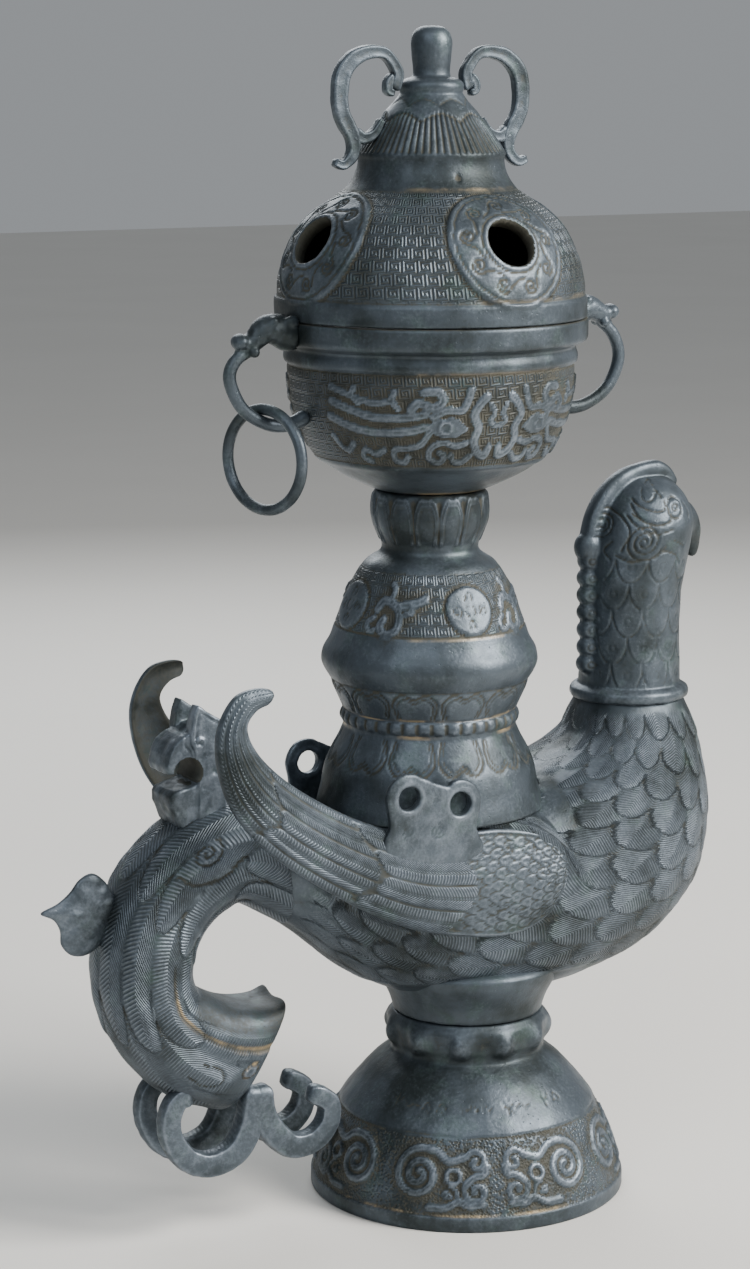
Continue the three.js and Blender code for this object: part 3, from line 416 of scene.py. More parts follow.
def scales_of(along: Field, across: Field, pitch: float, wide: float) -> Field:
    """Rows of incised round scales, each row over the next.

    Args:
        along: Distance down the rows, in millimetres.
        across: Distance across them.
        pitch: Height of a row.
        wide: Width of a scale.

    Returns:
        The lift in millimetres, for grooves about half a millimetre deep.
    """
    row = np.floor(along / pitch)
    fall = along / pitch - row
    x = across / wide + 0.5 * (row % 2)
    x = x - np.floor(x) - 0.5
    away = (np.hypot(2 * x, fall) - 1) * 0.85 * pitch
    ring = np.hypot(x * wide, (fall - 0.42) * pitch)
    step = 0.28 * np.exp(np.minimum(away, 0) / 2.2) * (away < 0)
    return step - 0.62 * np.exp(-((away / 0.5) ** 2)) - 0.3 * np.exp(-(((ring - 0.11 * wide) / 0.4) ** 2))


# Meshes

def deselect() -> None:
    """Leaves nothing selected."""
    if bpy.context.object and bpy.context.object.mode != "OBJECT":
        bpy.ops.object.mode_set(mode="OBJECT")
    bpy.ops.object.select_all(action="DESELECT")


def choose(piece: bpy.types.Object) -> None:
    """Makes one piece the only selected and the active one.

    Args:
        piece: The piece to select.
    """
    deselect()
    piece.select_set(True)
    bpy.context.view_layer.objects.active = piece


def places_of(piece: bpy.types.Object) -> Field:
    """The piece's vertices in millimetres.

    Args:
        piece: A mesh piece.

    Returns:
        One row for each vertex.
    """
    flat = np.zeros(3 * len(piece.data.vertices))
    piece.data.vertices.foreach_get("co", flat)
    return flat.reshape(-1, 3) / MM


def normals_of(piece: bpy.types.Object) -> Field:
    """The piece's vertex normals.

    Args:
        piece: A mesh piece.

    Returns:
        One row for each vertex.
    """
    flat = np.zeros(3 * len(piece.data.vertices), np.float32)
    piece.data.vertex_normals.foreach_get("vector", flat)
    return flat.reshape(-1, 3).astype(float)


def move_to(piece: bpy.types.Object, places: Field) -> None:
    """Puts the piece's vertices at places in millimetres.

    Args:
        piece: A mesh piece.
        places: One row for each vertex.
    """
    piece.data.vertices.foreach_set("co", (np.asarray(places, float) * MM).ravel())
    piece.data.update()


def mark(piece: bpy.types.Object, relief: Field, worn: Field | float = 0.0,
         fine: Field | None = None) -> None:
    """Stores what the patina reads at each vertex.

    Args:
        piece: The mesh piece.
        relief: 0 in recesses and 1 on proud edges.
        worn: 1 where bare metal shows.
        fine: Two phases of the fine pattern and its strength, or None for no fine pattern.
    """
    count = len(piece.data.vertices)
    for name, values in (("relief", relief), ("worn", worn)):
        layer = piece.data.attributes.new(name, "FLOAT", "POINT")
        values = np.asarray(values, float).ravel() if np.ndim(values) else values
        layer.data.foreach_set("value", np.broadcast_to(values, (count,)).astype(np.float32))
    layer = piece.data.attributes.new("fine", "FLOAT_VECTOR", "POINT")
    table = np.zeros((count, 3)) if fine is None else np.asarray(fine, float).reshape(-1, 3)
    layer.data.foreach_set("vector", table.astype(np.float32).ravel())


def sheet(name: str, places: Field, relief: Field, worn: Field | float = 0.0,
          fine: Field | None = None) -> bpy.types.Object:
    """A grid laid over a surface whose first and last columns meet, closed where its ends come to a point.

    Args:
        name: The piece's name.
        places: Rows by columns by three, in millimetres.
        relief: Exposure for each vertex.
        worn: Bare metal for each vertex.
        fine: Fine pattern for each vertex.

    Returns:
        The closed piece.
    """
    rows, columns = places.shape[:2]
    deselect()
    bpy.ops.mesh.primitive_grid_add(x_subdivisions=columns - 1, y_subdivisions=rows - 1, calc_uvs=False)
    piece = bpy.context.object
    piece.name = piece.data.name = name
    move_to(piece, places.reshape(-1, 3))
    mark(piece, relief, worn, fine)
    bpy.ops.object.mode_set(mode="EDIT")
    bpy.ops.mesh.select_all(action="SELECT")
    bpy.ops.mesh.remove_doubles(threshold=2e-6)
    bpy.ops.mesh.normals_make_consistent(inside=False)
    bpy.ops.object.mode_set(mode="OBJECT")
    return piece


def bar(path: list, thick: Field, wide: Field, around: int = 40, spacing: float = 0.9,
        square: float = 1.0) -> dict:
    """Sweeps a section along a line in the middle plane, with rounded ends.

    Args:
        path: Places [x, z] the middle goes through.
        thick: Sizes in the plane, spread evenly from start to end.
        wide: Sizes across the plane, spread the same way.
        around: Vertices round the section.
        spacing: Distance between rings.
        square: 1 for an oval section and towards 0 for a boxy one.

    Returns:
        The grid's places, outward directions, distance along, angle and length.
    """
    middle = run(path, spacing)
    length = np.concatenate([[0], np.cumsum(np.linalg.norm(np.diff(middle, axis=0), axis=1))])
    share = length / length[-1]
    t = np.interp(share, np.linspace(0, 1, len(thick)), thick)
    w = np.interp(share, np.linspace(0, 1, len(wide)), wide)
    tangent = np.gradient(middle, axis=0)
    tangent /= np.linalg.norm(tangent, axis=1)[:, None]
    normal = np.stack([-tangent[:, 1], tangent[:, 0]], 1)
    end = np.clip(np.minimum(length, length[-1] - length) / (0.42 * t), 0, 1)
    close = np.sqrt(1 - (1 - end) ** 2)
    angle = np.linspace(0, 2 * math.pi, around + 1)
    c = np.sign(np.cos(angle)) * np.abs(np.cos(angle)) ** square
    s = np.sign(np.sin(angle)) * np.abs(np.sin(angle)) ** square
    out = np.zeros((len(middle), around + 1, 3))
    out[..., 0] = (normal[:, 0] * t / 2 * close)[:, None] * c
    out[..., 2] = (normal[:, 1] * t / 2 * close)[:, None] * c
    out[..., 1] = (w / 2 * close)[:, None] * s
    centre = np.stack([middle[:, 0], np.zeros(len(middle)), middle[:, 1]], 1)[:, None]
    reach = np.linalg.norm(out, axis=2, keepdims=True)
    return {"places": centre + out, "out": out / np.maximum(reach, 1e-6),
            "along": length[:, None] + 0 * angle,
            "angle": angle + 0 * length[:, None], "length": length[-1], "close": close[:, None]}


def ball(x: float, y: float, z: float, radius: float, scale: tuple = (1, 1, 1)) -> bpy.types.Object:
    """A round lump to be fused into a casting, in millimetres.

    Args:
        x: Its middle, along the burner.
        y: Its middle, across.
        z: Its middle, upwards.
        radius: Its radius.
        scale: Stretch along each axis.

    Returns:
        The lump.
    """
    deselect()
    bpy.ops.mesh.primitive_uv_sphere_add(segments=24, ring_count=16, radius=radius * MM,
                                         location=(x * MM, y * MM, z * MM))
    lump = bpy.context.object
    lump.scale = scale
    bpy.ops.object.transform_apply(location=True, rotation=True, scale=True)
    return lump


def fuse(name: str, parts: list, voxel: float, rounds: int = 3) -> bpy.types.Object:
    """Melts overlapping closed parts into one skin.

    Args:
        name: The piece's name.
        parts: The closed meshes.
        voxel: Size of the new skin's cells, in millimetres.
        rounds: How many times the skin is eased.

    Returns:
        The one piece.
    """
    choose(parts[0])
    for part in parts:
        part.select_set(True)
    if len(parts) > 1:
        bpy.ops.object.join()
    piece = bpy.context.object
    piece.name = piece.data.name = name
    for layer in list(piece.data.attributes):
        if layer.name in ("relief", "worn", "fine"):
            piece.data.attributes.remove(layer)
    piece.data.remesh_voxel_size = voxel * MM
    bpy.ops.object.voxel_remesh()
    if rounds:
        ease = piece.modifiers.new("ease", "SMOOTH")
        ease.factor, ease.iterations = 0.5, rounds
        bpy.ops.object.modifier_apply(modifier=ease.name)
    return piece


def carve(piece: bpy.types.Object, cutters: list) -> None:
    """Cuts closed shapes out of a piece and removes them.

    Args:
        piece: The piece that is cut.
        cutters: Closed shapes.
    """
    for cutter in cutters:
        choose(piece)
        step = piece.modifiers.new("carve", "BOOLEAN")
        step.operation, step.solver, step.object = "DIFFERENCE", "EXACT", cutter
        bpy.ops.object.modifier_apply(modifier=step.name)
        bpy.data.objects.remove(cutter)


def grain(places: Field, size: float, seed: int) -> Field:
    """Smooth seeded unevenness of a cast surface, about -1 to 1.

    Args:
        places: Places in millimetres, one row each.
        size: Size of a lump.
        seed: Which pattern.

    Returns:
        The unevenness at each place.
    """
    rng = np.random.default_rng(seed)
    total = np.zeros(len(places))
    for _ in range(7):
        way = rng.normal(size=3)
        total += np.sin(places @ (way / np.linalg.norm(way)) * (2 * math.pi / size) * rng.uniform(0.6, 1.7)
                        + rng.uniform(0, 6.3))
    return total / 3.5


# Finishes

class Fine(Enum):
    """The finest pattern, too small for the mesh."""

    PLAIN = "plain"
    BARBS = "barbs"
    DIAPER = "diaper"
    PUNCHED = "punched"


class Recipe:
    """A small helper that puts down and joins the nodes of one material."""

    def __init__(self, name: str) -> None:
        """Starts an empty material.

        Args:
            name: The material's name.
        """
        self.material = bpy.data.materials.new(name)
        self.material.use_nodes = True
        self.tree = self.material.node_tree
        self.tree.nodes.clear()

    def put(self, kind: str, inputs: dict | None = None, out: int | str = 0,
            **settings: object) -> bpy.types.NodeSocket:
        """Adds a node.

        Args:
            kind: The node's type after "ShaderNode".
            inputs: Values or other nodes' outputs, by input.
            out: Which output comes back.
            settings: Properties of the node.

        Returns:
            The chosen output.
        """
        node = self.tree.nodes.new("ShaderNode" + kind)
        for key, value in settings.items():
            setattr(node, key, value)
        for key, value in (inputs or {}).items():
            if isinstance(value, bpy.types.NodeSocket):
                self.tree.links.new(value, node.inputs[key])
            else:
                node.inputs[key].default_value = value
        return node.outputs[out] if len(node.outputs) else node

    def mix(self, share: object, first: object, second: object) -> bpy.types.NodeSocket:
        """Blends two colours.

        Args:
            share: Share of the second.
            first: The first colour.
            second: The second colour.

        Returns:
            The blend.
        """
        return self.put("Mix", {0: share, 6: first, 7: second}, 2, data_type="RGBA")

    def sum(self, operation: str, first: object, second: object = 0.0,
            third: object = 0.0) -> bpy.types.NodeSocket:
        """Works out one number from others.

        Args:
            operation: The Math node's operation.
            first: First number.
            second: Second number.
            third: Third number.

        Returns:
            The result.
        """
        return self.put("Math", {0: first, 1: second, 2: third}, operation=operation)

    def span(self, value: object, low: float, high: float, first: float = 0.0,
             second: float = 1.0) -> bpy.types.NodeSocket:
        """Maps a range of values smoothly onto another.

        Args:
            value: The value to map.
            low: Where the range starts.
            high: Where it ends.
            first: Result at the start.
            second: Result at the end.

        Returns:
            The mapped value.
        """
        return self.put("MapRange", {0: value, 1: low, 2: high, 3: first, 4: second},
                        interpolation_type="SMOOTHSTEP")

    def noise(self, place: object, scale: float, detail: float = 4.0,
              rough: float = 0.55) -> bpy.types.NodeSocket:
        """Cloudy unevenness, 0 to 1.

        Args:
            place: Coordinates.
            scale: Clouds to a metre.
            detail: Octaves.
            rough: Weight of the finer ones.

        Returns:
            The noise.
        """
        return self.put("TexNoise", {"Vector": place, "Scale": scale, "Detail": detail, "Roughness": rough})


@dataclass(frozen=True)
class Patina:
    """Dark blue-grey bronze, paler on proud edges where the patina is partly rubbed and partly a painted
    highlight, dusty and darker in its recesses where real dust and dark deposit sit and shade is painted, and
    bare on a few edges.
    """

    name: str
    fine: Fine = Fine.PLAIN
    body: tuple = (0.078, 0.098, 0.118, 1)
    # pale is the painted highlight colour for proud edges, partly also rubbed patina; deep darkens the
    # patina's mottling and is also the painted shade in recesses.
    pale: tuple = (0.215, 0.252, 0.298, 1)
    deep: tuple = (0.013, 0.019, 0.018, 1)
    dust: tuple = (0.070, 0.065, 0.046, 1)
    verdigris: tuple = (0.052, 0.090, 0.072, 1)
    brass: tuple = (0.50, 0.385, 0.225, 1)
    dustiness: float = 0.45
    rings: float = 4.0
    gloss: float = 0.40

    def make(self) -> bpy.types.Material:
        """Builds the material's nodes.

        Returns:
            The material.
        """
        r = Recipe(self.name)
        place = r.put("TexCoord", out="Object")
        relief = r.put("Attribute", out="Fac", attribute_name="relief")
        worn = r.put("Attribute", out="Fac", attribute_name="worn")
        fine = r.put("Attribute", out="Vector", attribute_name="fine")
        clouds = r.noise(place, 22.0, 5.0, 0.6)
        patches = r.noise(place, 75.0, 4.0, 0.6)
        grit = r.noise(place, 700.0, 3.0, 0.6)
        pits = r.put("TexVoronoi", {"Vector": place, "Scale": 330.0}, out="Distance")
        height = r.sum("MULTIPLY", r.sum("SUBTRACT", grit, 0.5), 0.35)
        height = r.sum("ADD", height, r.sum("MULTIPLY", r.sum("SUBTRACT", patches, 0.5), 0.5))
        height = r.sum("SUBTRACT", height, r.span(pits, 0.0, 0.16, 0.35, 0.0))
        lines = r.sum("ADD", 0.0, 0.0)
        axes = r.put("SeparateXYZ", {0: fine})
        first, second, strength = axes, axes.node.outputs[1], axes.node.outputs[2]
        if self.fine is Fine.BARBS:
            wave = r.sum("SINE", r.sum("MULTIPLY", first, 2 * math.pi))
            lines = r.sum("MULTIPLY", wave, strength)
            height = r.sum("ADD", height, r.sum("MULTIPLY", lines, 0.6))
        elif self.fine is Fine.DIAPER:
            shift = r.sum("MULTIPLY", r.sum("FLOOR", second), 0.5)
            cell = [r.sum("SUBTRACT", r.sum("FRACT", axis), 0.5)
                    for axis in (r.sum("ADD", first, shift), second)]
            ring = r.sum("MAXIMUM", *[r.sum("ABSOLUTE", axis) for axis in cell])
            turn = r.sum("DIVIDE", r.sum("ARCTAN2", cell[1], cell[0]), 2 * math.pi)
            wave = r.sum("SINE", r.sum("MULTIPLY", r.sum("ADD", r.sum("MULTIPLY", ring, self.rings), turn),
                                       2 * math.pi))
            lines = r.sum("MULTIPLY", wave, strength)
            height = r.sum("ADD", height, r.sum("MULTIPLY", lines, 0.6))
        elif self.fine is Fine.PUNCHED:
            dots = r.put("TexVoronoi", {"Vector": place, "Scale": 760.0}, out="Distance")
            lines = r.sum("MULTIPLY", r.span(dots, 0.1, 0.7, -1.0, 1.0), strength)
            height = r.sum("ADD", height, r.sum("MULTIPLY", lines, 0.45))
        # exposed is low in recesses and fine grooves and high on proud edges; it drives the dust and also the
        # painted shade and painted highlight below.
        exposed = r.sum("ADD", relief, r.sum("MULTIPLY", lines, 0.19 if self.fine is Fine.BARBS else 0.12))
        exposed = r.sum("ADD", exposed, r.sum("MULTIPLY", r.sum("SUBTRACT", patches, 0.5), 0.5))
        exposed = r.sum("ADD", exposed, r.sum("MULTIPLY", r.sum("SUBTRACT", grit, 0.5), 0.45))
        colour = r.mix(r.span(clouds, 0.34, 0.60, 0.12, 1.0), self.deep, self.body)
        colour = r.mix(r.sum("MULTIPLY", r.span(patches, 0.52, 0.72), 0.4), colour, self.verdigris)
        # Painted highlight: proud edges turn pale, partly as rubbed patina.
        rubbed_and_highlight = r.sum("MULTIPLY", r.span(exposed, 0.46, 0.95), r.span(clouds, 0.35, 0.65, 0.4, 1.0))
        colour = r.mix(rubbed_and_highlight, colour, self.pale)
        settled = r.sum("MULTIPLY", r.span(exposed, 0.12, 0.46, 1.0, 0.0),
                        r.span(patches, 0.3, 0.6, 0.35, 1.0))
        # Painted shade: recesses and grooves darken towards deep, partly as dark deposit.
        colour = r.mix(r.span(exposed, 0.10, 0.44, 0.92, 0.0), colour, self.deep)
        colour = r.mix(r.sum("MULTIPLY", settled, self.dustiness), colour, self.dust)
        bare = r.sum("MULTIPLY", worn, r.span(patches, 0.40, 0.60, 0.08, 0.9))
        colour = r.mix(bare, colour, self.brass)
        matt = r.sum("ADD", r.span(clouds, 0.3, 0.7, self.gloss + 0.1, self.gloss),
                     r.sum("MULTIPLY", settled, 0.3))
        matt = r.sum("ADD", matt, r.sum("MULTIPLY", r.sum("SUBTRACT", grit, 0.5), 0.25))
        metal = r.sum("MULTIPLY", r.span(settled, 0.0, 0.8, 1.0, 0.15), 0.62)
        metal = r.sum("MAXIMUM", metal, bare)
        bump = r.put("Bump", {"Strength": 0.75, "Distance": 0.00045, "Height": height}, out="Normal")
        surface = r.put("BsdfPrincipled", {"Base Color": colour, "Roughness": matt, "Metallic": metal,
                                           "Normal": bump})
        r.put("OutputMaterial", {0: surface})
        return r.material


FINISHES = {
    Fine.PLAIN: Patina("bronze_plain"), Fine.BARBS: Patina("bronze_barbs", Fine.BARBS),
    Fine.DIAPER: Patina("bronze_diaper", Fine.DIAPER, dustiness=0.75),
    Fine.PUNCHED: Patina("bronze_punched", Fine.PUNCHED, dustiness=0.7), }
MADE: dict[Fine, bpy.types.Material] = {}


def dress(piece: bpy.types.Object, node: str, fine: Fine) -> bpy.types.Object:
    """Gives a piece its patina and lets it stand for its node.

    Args:
        piece: The finished mesh.
        node: The node it stands for.
        fine: Which fine pattern its patina draws.

    Returns:
        The piece.
    """
    if fine not in MADE:
        MADE[fine] = FINISHES[fine].make()
    piece.data.materials.clear()
    piece.data.materials.append(MADE[fine])
    choose(piece)
    bpy.ops.object.shade_smooth()
    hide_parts(node)
    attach(piece, "root")
    LOG.info("%s: %d triangles", piece.name, sum(len(face.vertices) - 2 for face in piece.data.polygons))
    return piece


# Turned castings

@dataclass
class Turned:
    """A turned skin: its outline from one end to the other, its axis and the columns round it."""

    outline: Field
    axis: float
    columns: int

    def __post_init__(self) -> None:
        """Works out the angles, heights and outward directions."""
        self.r, self.z = self.outline[:, 0], self.outline[:, 1]
        self.turn = np.linspace(-math.pi, math.pi, self.columns + 1)
        way = np.gradient(self.outline, axis=0)
        way /= np.maximum(np.linalg.norm(way, axis=1), 1e-9)[:, None]
        self.out = np.stack([way[:, 1], -way[:, 0]], 1)
        step = np.linalg.norm(np.diff(self.outline, axis=0), axis=1)
        self.along = np.concatenate([[0], np.cumsum(step)])
        self.turns = np.broadcast_to(self.turn, (len(self.r), self.columns + 1))
        self.heights = np.broadcast_to(self.z[:, None], self.turns.shape)

    def places(self, lift: Field | float = 0.0) -> Field:
        """The skin's grid with a lift along its outward direction.

        Args:
            lift: How far each place is raised.

        Returns:
            The places in millimetres.
        """
        lift = np.broadcast_to(lift, self.turns.shape) * (self.r[:, None] > 1)
        lift = np.concatenate([lift[:, :-1], lift[:, :1]], 1)
        r = self.r[:, None] + lift * self.out[:, :1]
        z = self.z[:, None] + lift * self.out[:, 1:]
        return np.stack([self.axis + r * np.cos(self.turns), r * np.sin(self.turns), z], 2)

    def outside(self, low: float, high: float) -> Field:
        """1 on the outer skin between two heights.

        Args:
            low: The lower height.
            high: The upper height.

        Returns:
            The share on the grid.
        """
        return (((self.out[:, 0] > -0.05) & (self.z >= low) & (self.z <= high))[:, None]
                * np.ones(self.turns.shape))


def petals(drawing: Drawing, radius: float, count: int, low: float, high: float, turn: float,
           notch: float = 0.0, down: bool = False, line: float = 0.9, lift: float = -0.6) -> None:
    """Draws a row of double-outlined petals round a band.

    Args:
        drawing: Where they are drawn.
        radius: The radius the drawing is laid out at.
        count: How many petals.
        low: Height of the band's lower edge.
        high: Height of the band's upper edge.
        turn: Degrees of the first petal's middle.
        notch: Depth of the dent in the tip.
        down: Whether the tips point down.
        line: Width of the outline.
        lift: Height of the outline, negative where it is cut in.
    """
    pitch = 2 * math.pi * radius / count
    for i in range(count):
        middle = math.radians(turn % 360) * radius + i * pitch
        for inset in (0.0, 1.9):
            half = pitch * 0.46 - inset
            top = high - inset
            shape = [[-half * 0.86, low], [-half, low + (top - low) * 0.5],
                     [-half * 0.85, low + (top - low) * 0.8],
                     [-half * 0.5, top], [-half * 0.12, top - notch * 0.7], [0, top - notch]]
            side = bend(shape, 22)
            if down:
                side[:, 1] = low + high - side[:, 1]
            for sign in (-1, 1):
                edge = np.stack([middle + sign * side[:, 0], side[:, 1]], 1)
                drawing.line(edge, line if inset else line * 1.25, lift * (0.8 if inset else 1.0))


@dataclass
class Foot:
    """The hollow bell foot with its scroll band and the knobbed collar."""

    radius: float = 70.48
    mirror_turn: float = -109.0
    knobs: int = 11
    band_radius: float = 62.0

    def motif(self, drawing: Drawing, middle: float, side: int) -> None:
        """Draws one scroll with its eye, small scrolls and forked ribbon.

        Args:
            drawing: Where it is drawn.
            middle: Place of the mirror line.
            side: 1 to the right of it and -1 to the left.
        """
        def lay(line: Field, width: float = 3.4, lift: float = 1.2) -> None:
            """Lays one ribbon of the scroll with its centre groove.

            Args:
                line: The ribbon's middle line for the right-hand half.
                width: Its width in millimetres.
                lift: Its height.
            """
            placed = np.stack([middle + side * line[:, 0], line[:, 1]], 1)
            drawing.line(placed, width, lift)
            if width > 2:
                drawing.line(placed, 0.7, -0.6)
        big = spiral(33.0, 23.6, 10.6, 2.0, 95, -1, 1.4)
        lay(big, 3.6, 1.4)
        lay(bend([[33.0, 34.2], [26.0, 33.4], [20.5, 29.6], [15.2, 30.6], [12.4, 31.5]], 24))
        lay(spiral(8.2, 29.2, 5.2, 1.15, 20, 1, 1.0), 2.7)
        lay(bend([[4.0, 27.5], [5.2, 24.4], [9.6, 23.0], [12.6, 20.3]], 16))
        lay(spiral(8.2, 17.6, 5.4, 1.15, 25, -1, 1.0), 2.7)
        lay(bend([[6.0, 12.4], [11.5, 11.6], [15.0, 13.6], [17.6, 12.4], [21.0, 10.6], [27.5, 10.4]], 24))
        lay(bend([[16.0, 15.6], [16.8, 18.4], [19.4, 19.4]], 8), 1.6)
        lay(circle(18.0, 23.4, 3.0), 1.9, 1.3)
        lay(spiral(20.4, 16.2, 2.2, 1.2, 200, 1, 0.3), 1.2, 0.9)

    def strokes(self, drawing: Drawing) -> None:
        """Draws the row of shallow worn strokes on the smooth zone, which spell nothing.

        Args:
            drawing: Where they are drawn.
        """
        rng = np.random.default_rng(11)
        scale = self.band_radius
        for turn, kind in ((-158, 0), (-149, 1), (-141, 2), (-133, 2), (-122, 3), (-117, 3), (-111, 3),
                           (-99, 4), (-91, 5), (-76, 0), (-69, 2)):
            x, y = math.radians(turn % 360) * scale, 49.2
            if kind == 0:
                lines = [[(-2.5, 1.5), (0.5, 0.5), (3, 2.0)], [(-0.5, 3), (-1.0, -2)]]
            elif kind == 1:
                lines = [[(-5, 0.6), (-2, -0.8), (1, 0.2), (5, -0.2)]]
            elif kind == 2:
                lines = [[(-3, -1.6), (-1, 1.4), (1.2, 1.2), (2.6, -1.2)], [(-1.4, -0.6), (1.6, -2)]]
            elif kind == 3:
                lines = [[(-1.2, 1.4), (-1.0, -1.4)], [(0.6, 1.0), (1.8, -1.0), (3, 0.2)]]
            elif kind == 4:
                lines = [[(-3, 2), (2.4, -2.2)], [(0.2, 2.4), (-0.4, -2.6)], [(-2.6, -0.6), (3.2, 1.0)]]
            else:
                lines = [[(-4.5, -0.4), (-1.5, 1.0), (1.4, -0.4), (4.6, 0.3)]]
            for line in lines:
                bent = curve(np.array(line) + rng.uniform(-0.25, 0.25, (len(line), 2)), np.linspace(0, 1, 10))
                drawing.line(bent + [x, y], 0.8, -0.45)

    def build(self) -> None:
        """Builds and dresses the foot."""
        bell = [[70.4, 5.6], [69.4, 8.4], [67.6, 15.0], [63.8, 25.4], [57.6, 39.0], [51.2, 47.6],
                [43.6, 56.2], [38.4, 60.6]]
        collar = [[36.4, 62.2], [34.4, 64.2], [34.8, 66.6], [36.6, 69.4], [37.3, 73.6], [36.2, 77.8],
                  [34.4, 80.2]]
        inner = [[0.0, 55.0], [20.0, 55.0], [36.0, 51.0], [48.0, 41.0], [56.0, 28.0], [61.5, 12.0],
                 [63.6, 0.6]]
        outline = profile_of(run(inner, 4.0), run([[63.6, 0.6], [64.2, 0.0]], 0.5, False),
                             run([[64.2, 0], [69.9, 0]], 2.0, False),
                             run([[69.9, 0], [70.49, 0.6]], 0.4, False),
                             run([[70.49, 0.6], [70.49, 5.2]], 1.6, False),
                             run(bell, 0.95), run(bell[-1:] + collar, 1.1),
                             run([collar[-1], [33.6, 81.3]], 0.8, False),
                             run([[33.6, 81.3], [0, 81.4]], 6.0, False))
        skin = Turned(outline, FOOT_X, 420)
        drawing = Drawing(2 * math.pi * self.band_radius, 62.0)
        for k in range(4):
            middle = math.radians((self.mirror_turn + 90 * k) % 360) * self.band_radius
            self.motif(drawing, middle, 1)
            self.motif(drawing, middle, -1)
        self.strokes(drawing)
        around = drawing.wide
        edge = np.array([[x, 38.6 + 0.5 * math.sin(x / 17)] for x in np.linspace(0, around, 120)])
        drawing.line(edge, 0.9, -0.5)
        lower = np.array([[x, 6.2] for x in np.linspace(0, around, 90)])
        drawing.line(lower, 1.2, 0.35)
        part = np.linspace(math.radians(190), math.radians(280), 60) * self.band_radius
        drawing.brass(np.array([[x, 7.2 + 0.3 * math.sin(x / 5)] for x in part]), 0.55)
        u = (skin.turns % (2 * math.pi)) * self.band_radius
        on = skin.outside(5.2, 61.5)
        lift = drawing.relief(u, skin.heights) * on
        top = smooth(38.0, 38.8, skin.heights + 0.5 * np.sin(u / 17))
        band = on * smooth(6.4, 7.4, skin.heights) * (1 - top)
        ground = band * (drawing.read(u, skin.heights, drawing.raised) < 0.2)
        lift = lift - 0.35 * band
        knob = np.cos(self.knobs * (skin.turns - math.radians(-93)))
        height = np.exp(-(((skin.heights - 72.0) / 4.8) ** 2)) * skin.outside(61.0, 81.0)
        bump = height * (3.3 * (0.5 + 0.5 * knob) ** 1.6 - 2.2) * (1 + 0.15 * np.sin(3 * skin.turns + 1))
        # The knob term paints light on the tops of the collar's bosses and shade in the valleys between them.
        relief = tone_of(lift, 1.5) - 0.10 * ground + 0.16 * height * knob
        lift = lift + bump
        places = skin.places(lift)
        lump = grain(places.reshape(-1, 3), 9.0, 3).reshape(lift.shape)
        places = skin.places(lift + lump * (0.14 * skin.outside(7.0, 80.0) - 0.08 * skin.outside(39.0, 62.0)))
        worn = drawing.read(u, skin.heights, drawing.worn) * on
        fine = np.stack([u, skin.heights, ground], 2)
        over = np.maximum(np.hypot(places[..., 0] - FOOT_X, places[..., 1]) / self.radius, 1)
        places[..., 0] = FOOT_X + (places[..., 0] - FOOT_X) / over
        places[..., 1] /= over
        places[..., 2] = np.clip(places[..., 2], 0, 81.4)
        dress(sheet("carved_foot", places, relief, worn, fine), "foot", Fine.PUNCHED)


